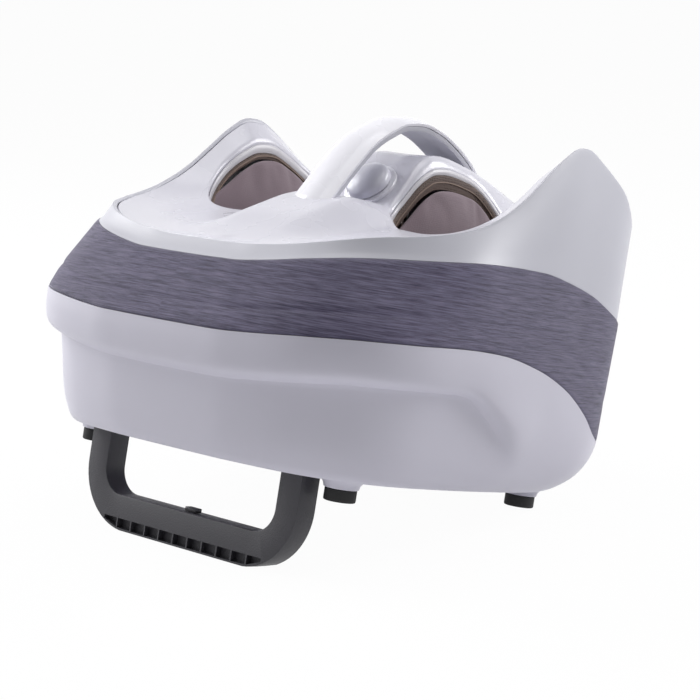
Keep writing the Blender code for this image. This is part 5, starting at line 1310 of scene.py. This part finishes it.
class MASSAGER_OT_works(bpy.types.Operator):
    """Finishes of the bottom plate and of everything held inside"""

    bl_idname = "massager.works"
    bl_label = "Works"

    def execute(self, context):
        finishes = {
            "black_plastic": moulded("carbon_black_abs", tone("1C1C1F"), 0.45, 1.2 * MM, 0.05 * MM),
            "board_green": moulded("board_laminate", tone("1F5A37"), 0.5, 1.5 * MM, 0.02 * MM, vary=0.3),
            "heater_film": moulded("polyimide_film", tone("B06A2C"), 0.35, 6 * MM, 0.02 * MM, vary=0.4),
            "acetal": moulded("natural_acetal", tone("E6E2D6"), 0.35, 2 * MM, 0.02 * MM),
            "silicone": moulded("pale_silicone_hose", tone("D8D4C8"), 0.5, 2 * MM, 0.02 * MM),
            "steel": metal("bright_steel", tone("C4C6C8"), 0.28),
            "brass": metal("turned_brass", tone("B5924C"), 0.3),
            "lilac_white": satin_abs("plate_abs", tuple(colours().lower), 0.45),
        }
        by_node = {
            "black_plastic": ("band_carrier", "sole_frame", "bearing_block", "gear_case", "motor_cradle",
                              "power_inlet", "dial_encoder", "air_pump", "valve_block"),
            "board_green": ("control_board", "power_board"),
            "heater_film": ("heater_film",),
            "acetal": ("roller", "worm_wheel"),
            "silicone": ("air_hose",),
            "brass": ("worm_bush",),
            "steel": ("shaft", "stand_pin", "motor"),
            "lilac_white": ("base_plate",),
        }
        for name, node in frame["nodes"].items():
            for finish, words in by_node.items():
                if any(word in name for word in words):
                    node.data.materials.clear()
                    node.data.materials.append(finishes[finish])
                    break
        return {"FINISHED"}


OPERATORS = (
    MASSAGER_OT_stage, MASSAGER_OT_top_shell, MASSAGER_OT_side_wall, MASSAGER_OT_woven_band,
    MASSAGER_OT_lower_shell, MASSAGER_OT_handle, MASSAGER_OT_dial, MASSAGER_OT_well_trim,
    MASSAGER_OT_well_liner, MASSAGER_OT_air_cushions, MASSAGER_OT_stand, MASSAGER_OT_feet,
    MASSAGER_OT_works)


class MASSAGER_PT_panel(bpy.types.Panel):
    """Sizes, colours and steps of the massager"""

    bl_idname = "MASSAGER_PT_panel"
    bl_label = "Massager"
    bl_space_type = "VIEW_3D"
    bl_region_type = "UI"
    bl_category = "Massager"

    def draw(self, context):
        for settings in (context.scene.massager_sizes, context.scene.massager_colours):
            box = self.layout.box()
            for name in settings.__annotations__:
                box.prop(settings, name)
        for operator in OPERATORS:
            self.layout.operator(operator.bl_idname)


CLASSES = (MassagerSizes, MassagerColours) + OPERATORS + (MASSAGER_PT_panel,)


def register():
    for cls in CLASSES:
        bpy.utils.register_class(cls)
    bpy.types.Scene.massager_sizes = PointerProperty(type=MassagerSizes)
    bpy.types.Scene.massager_colours = PointerProperty(type=MassagerColours)


def unregister():
    del bpy.types.Scene.massager_colours
    del bpy.types.Scene.massager_sizes
    for cls in reversed(CLASSES):
        bpy.utils.unregister_class(cls)


def main():
    register()
    for operator in OPERATORS:
        family, name = operator.bl_idname.split(".")
        getattr(getattr(bpy.ops, family), name)()


if __name__ == "__main__":
    main()
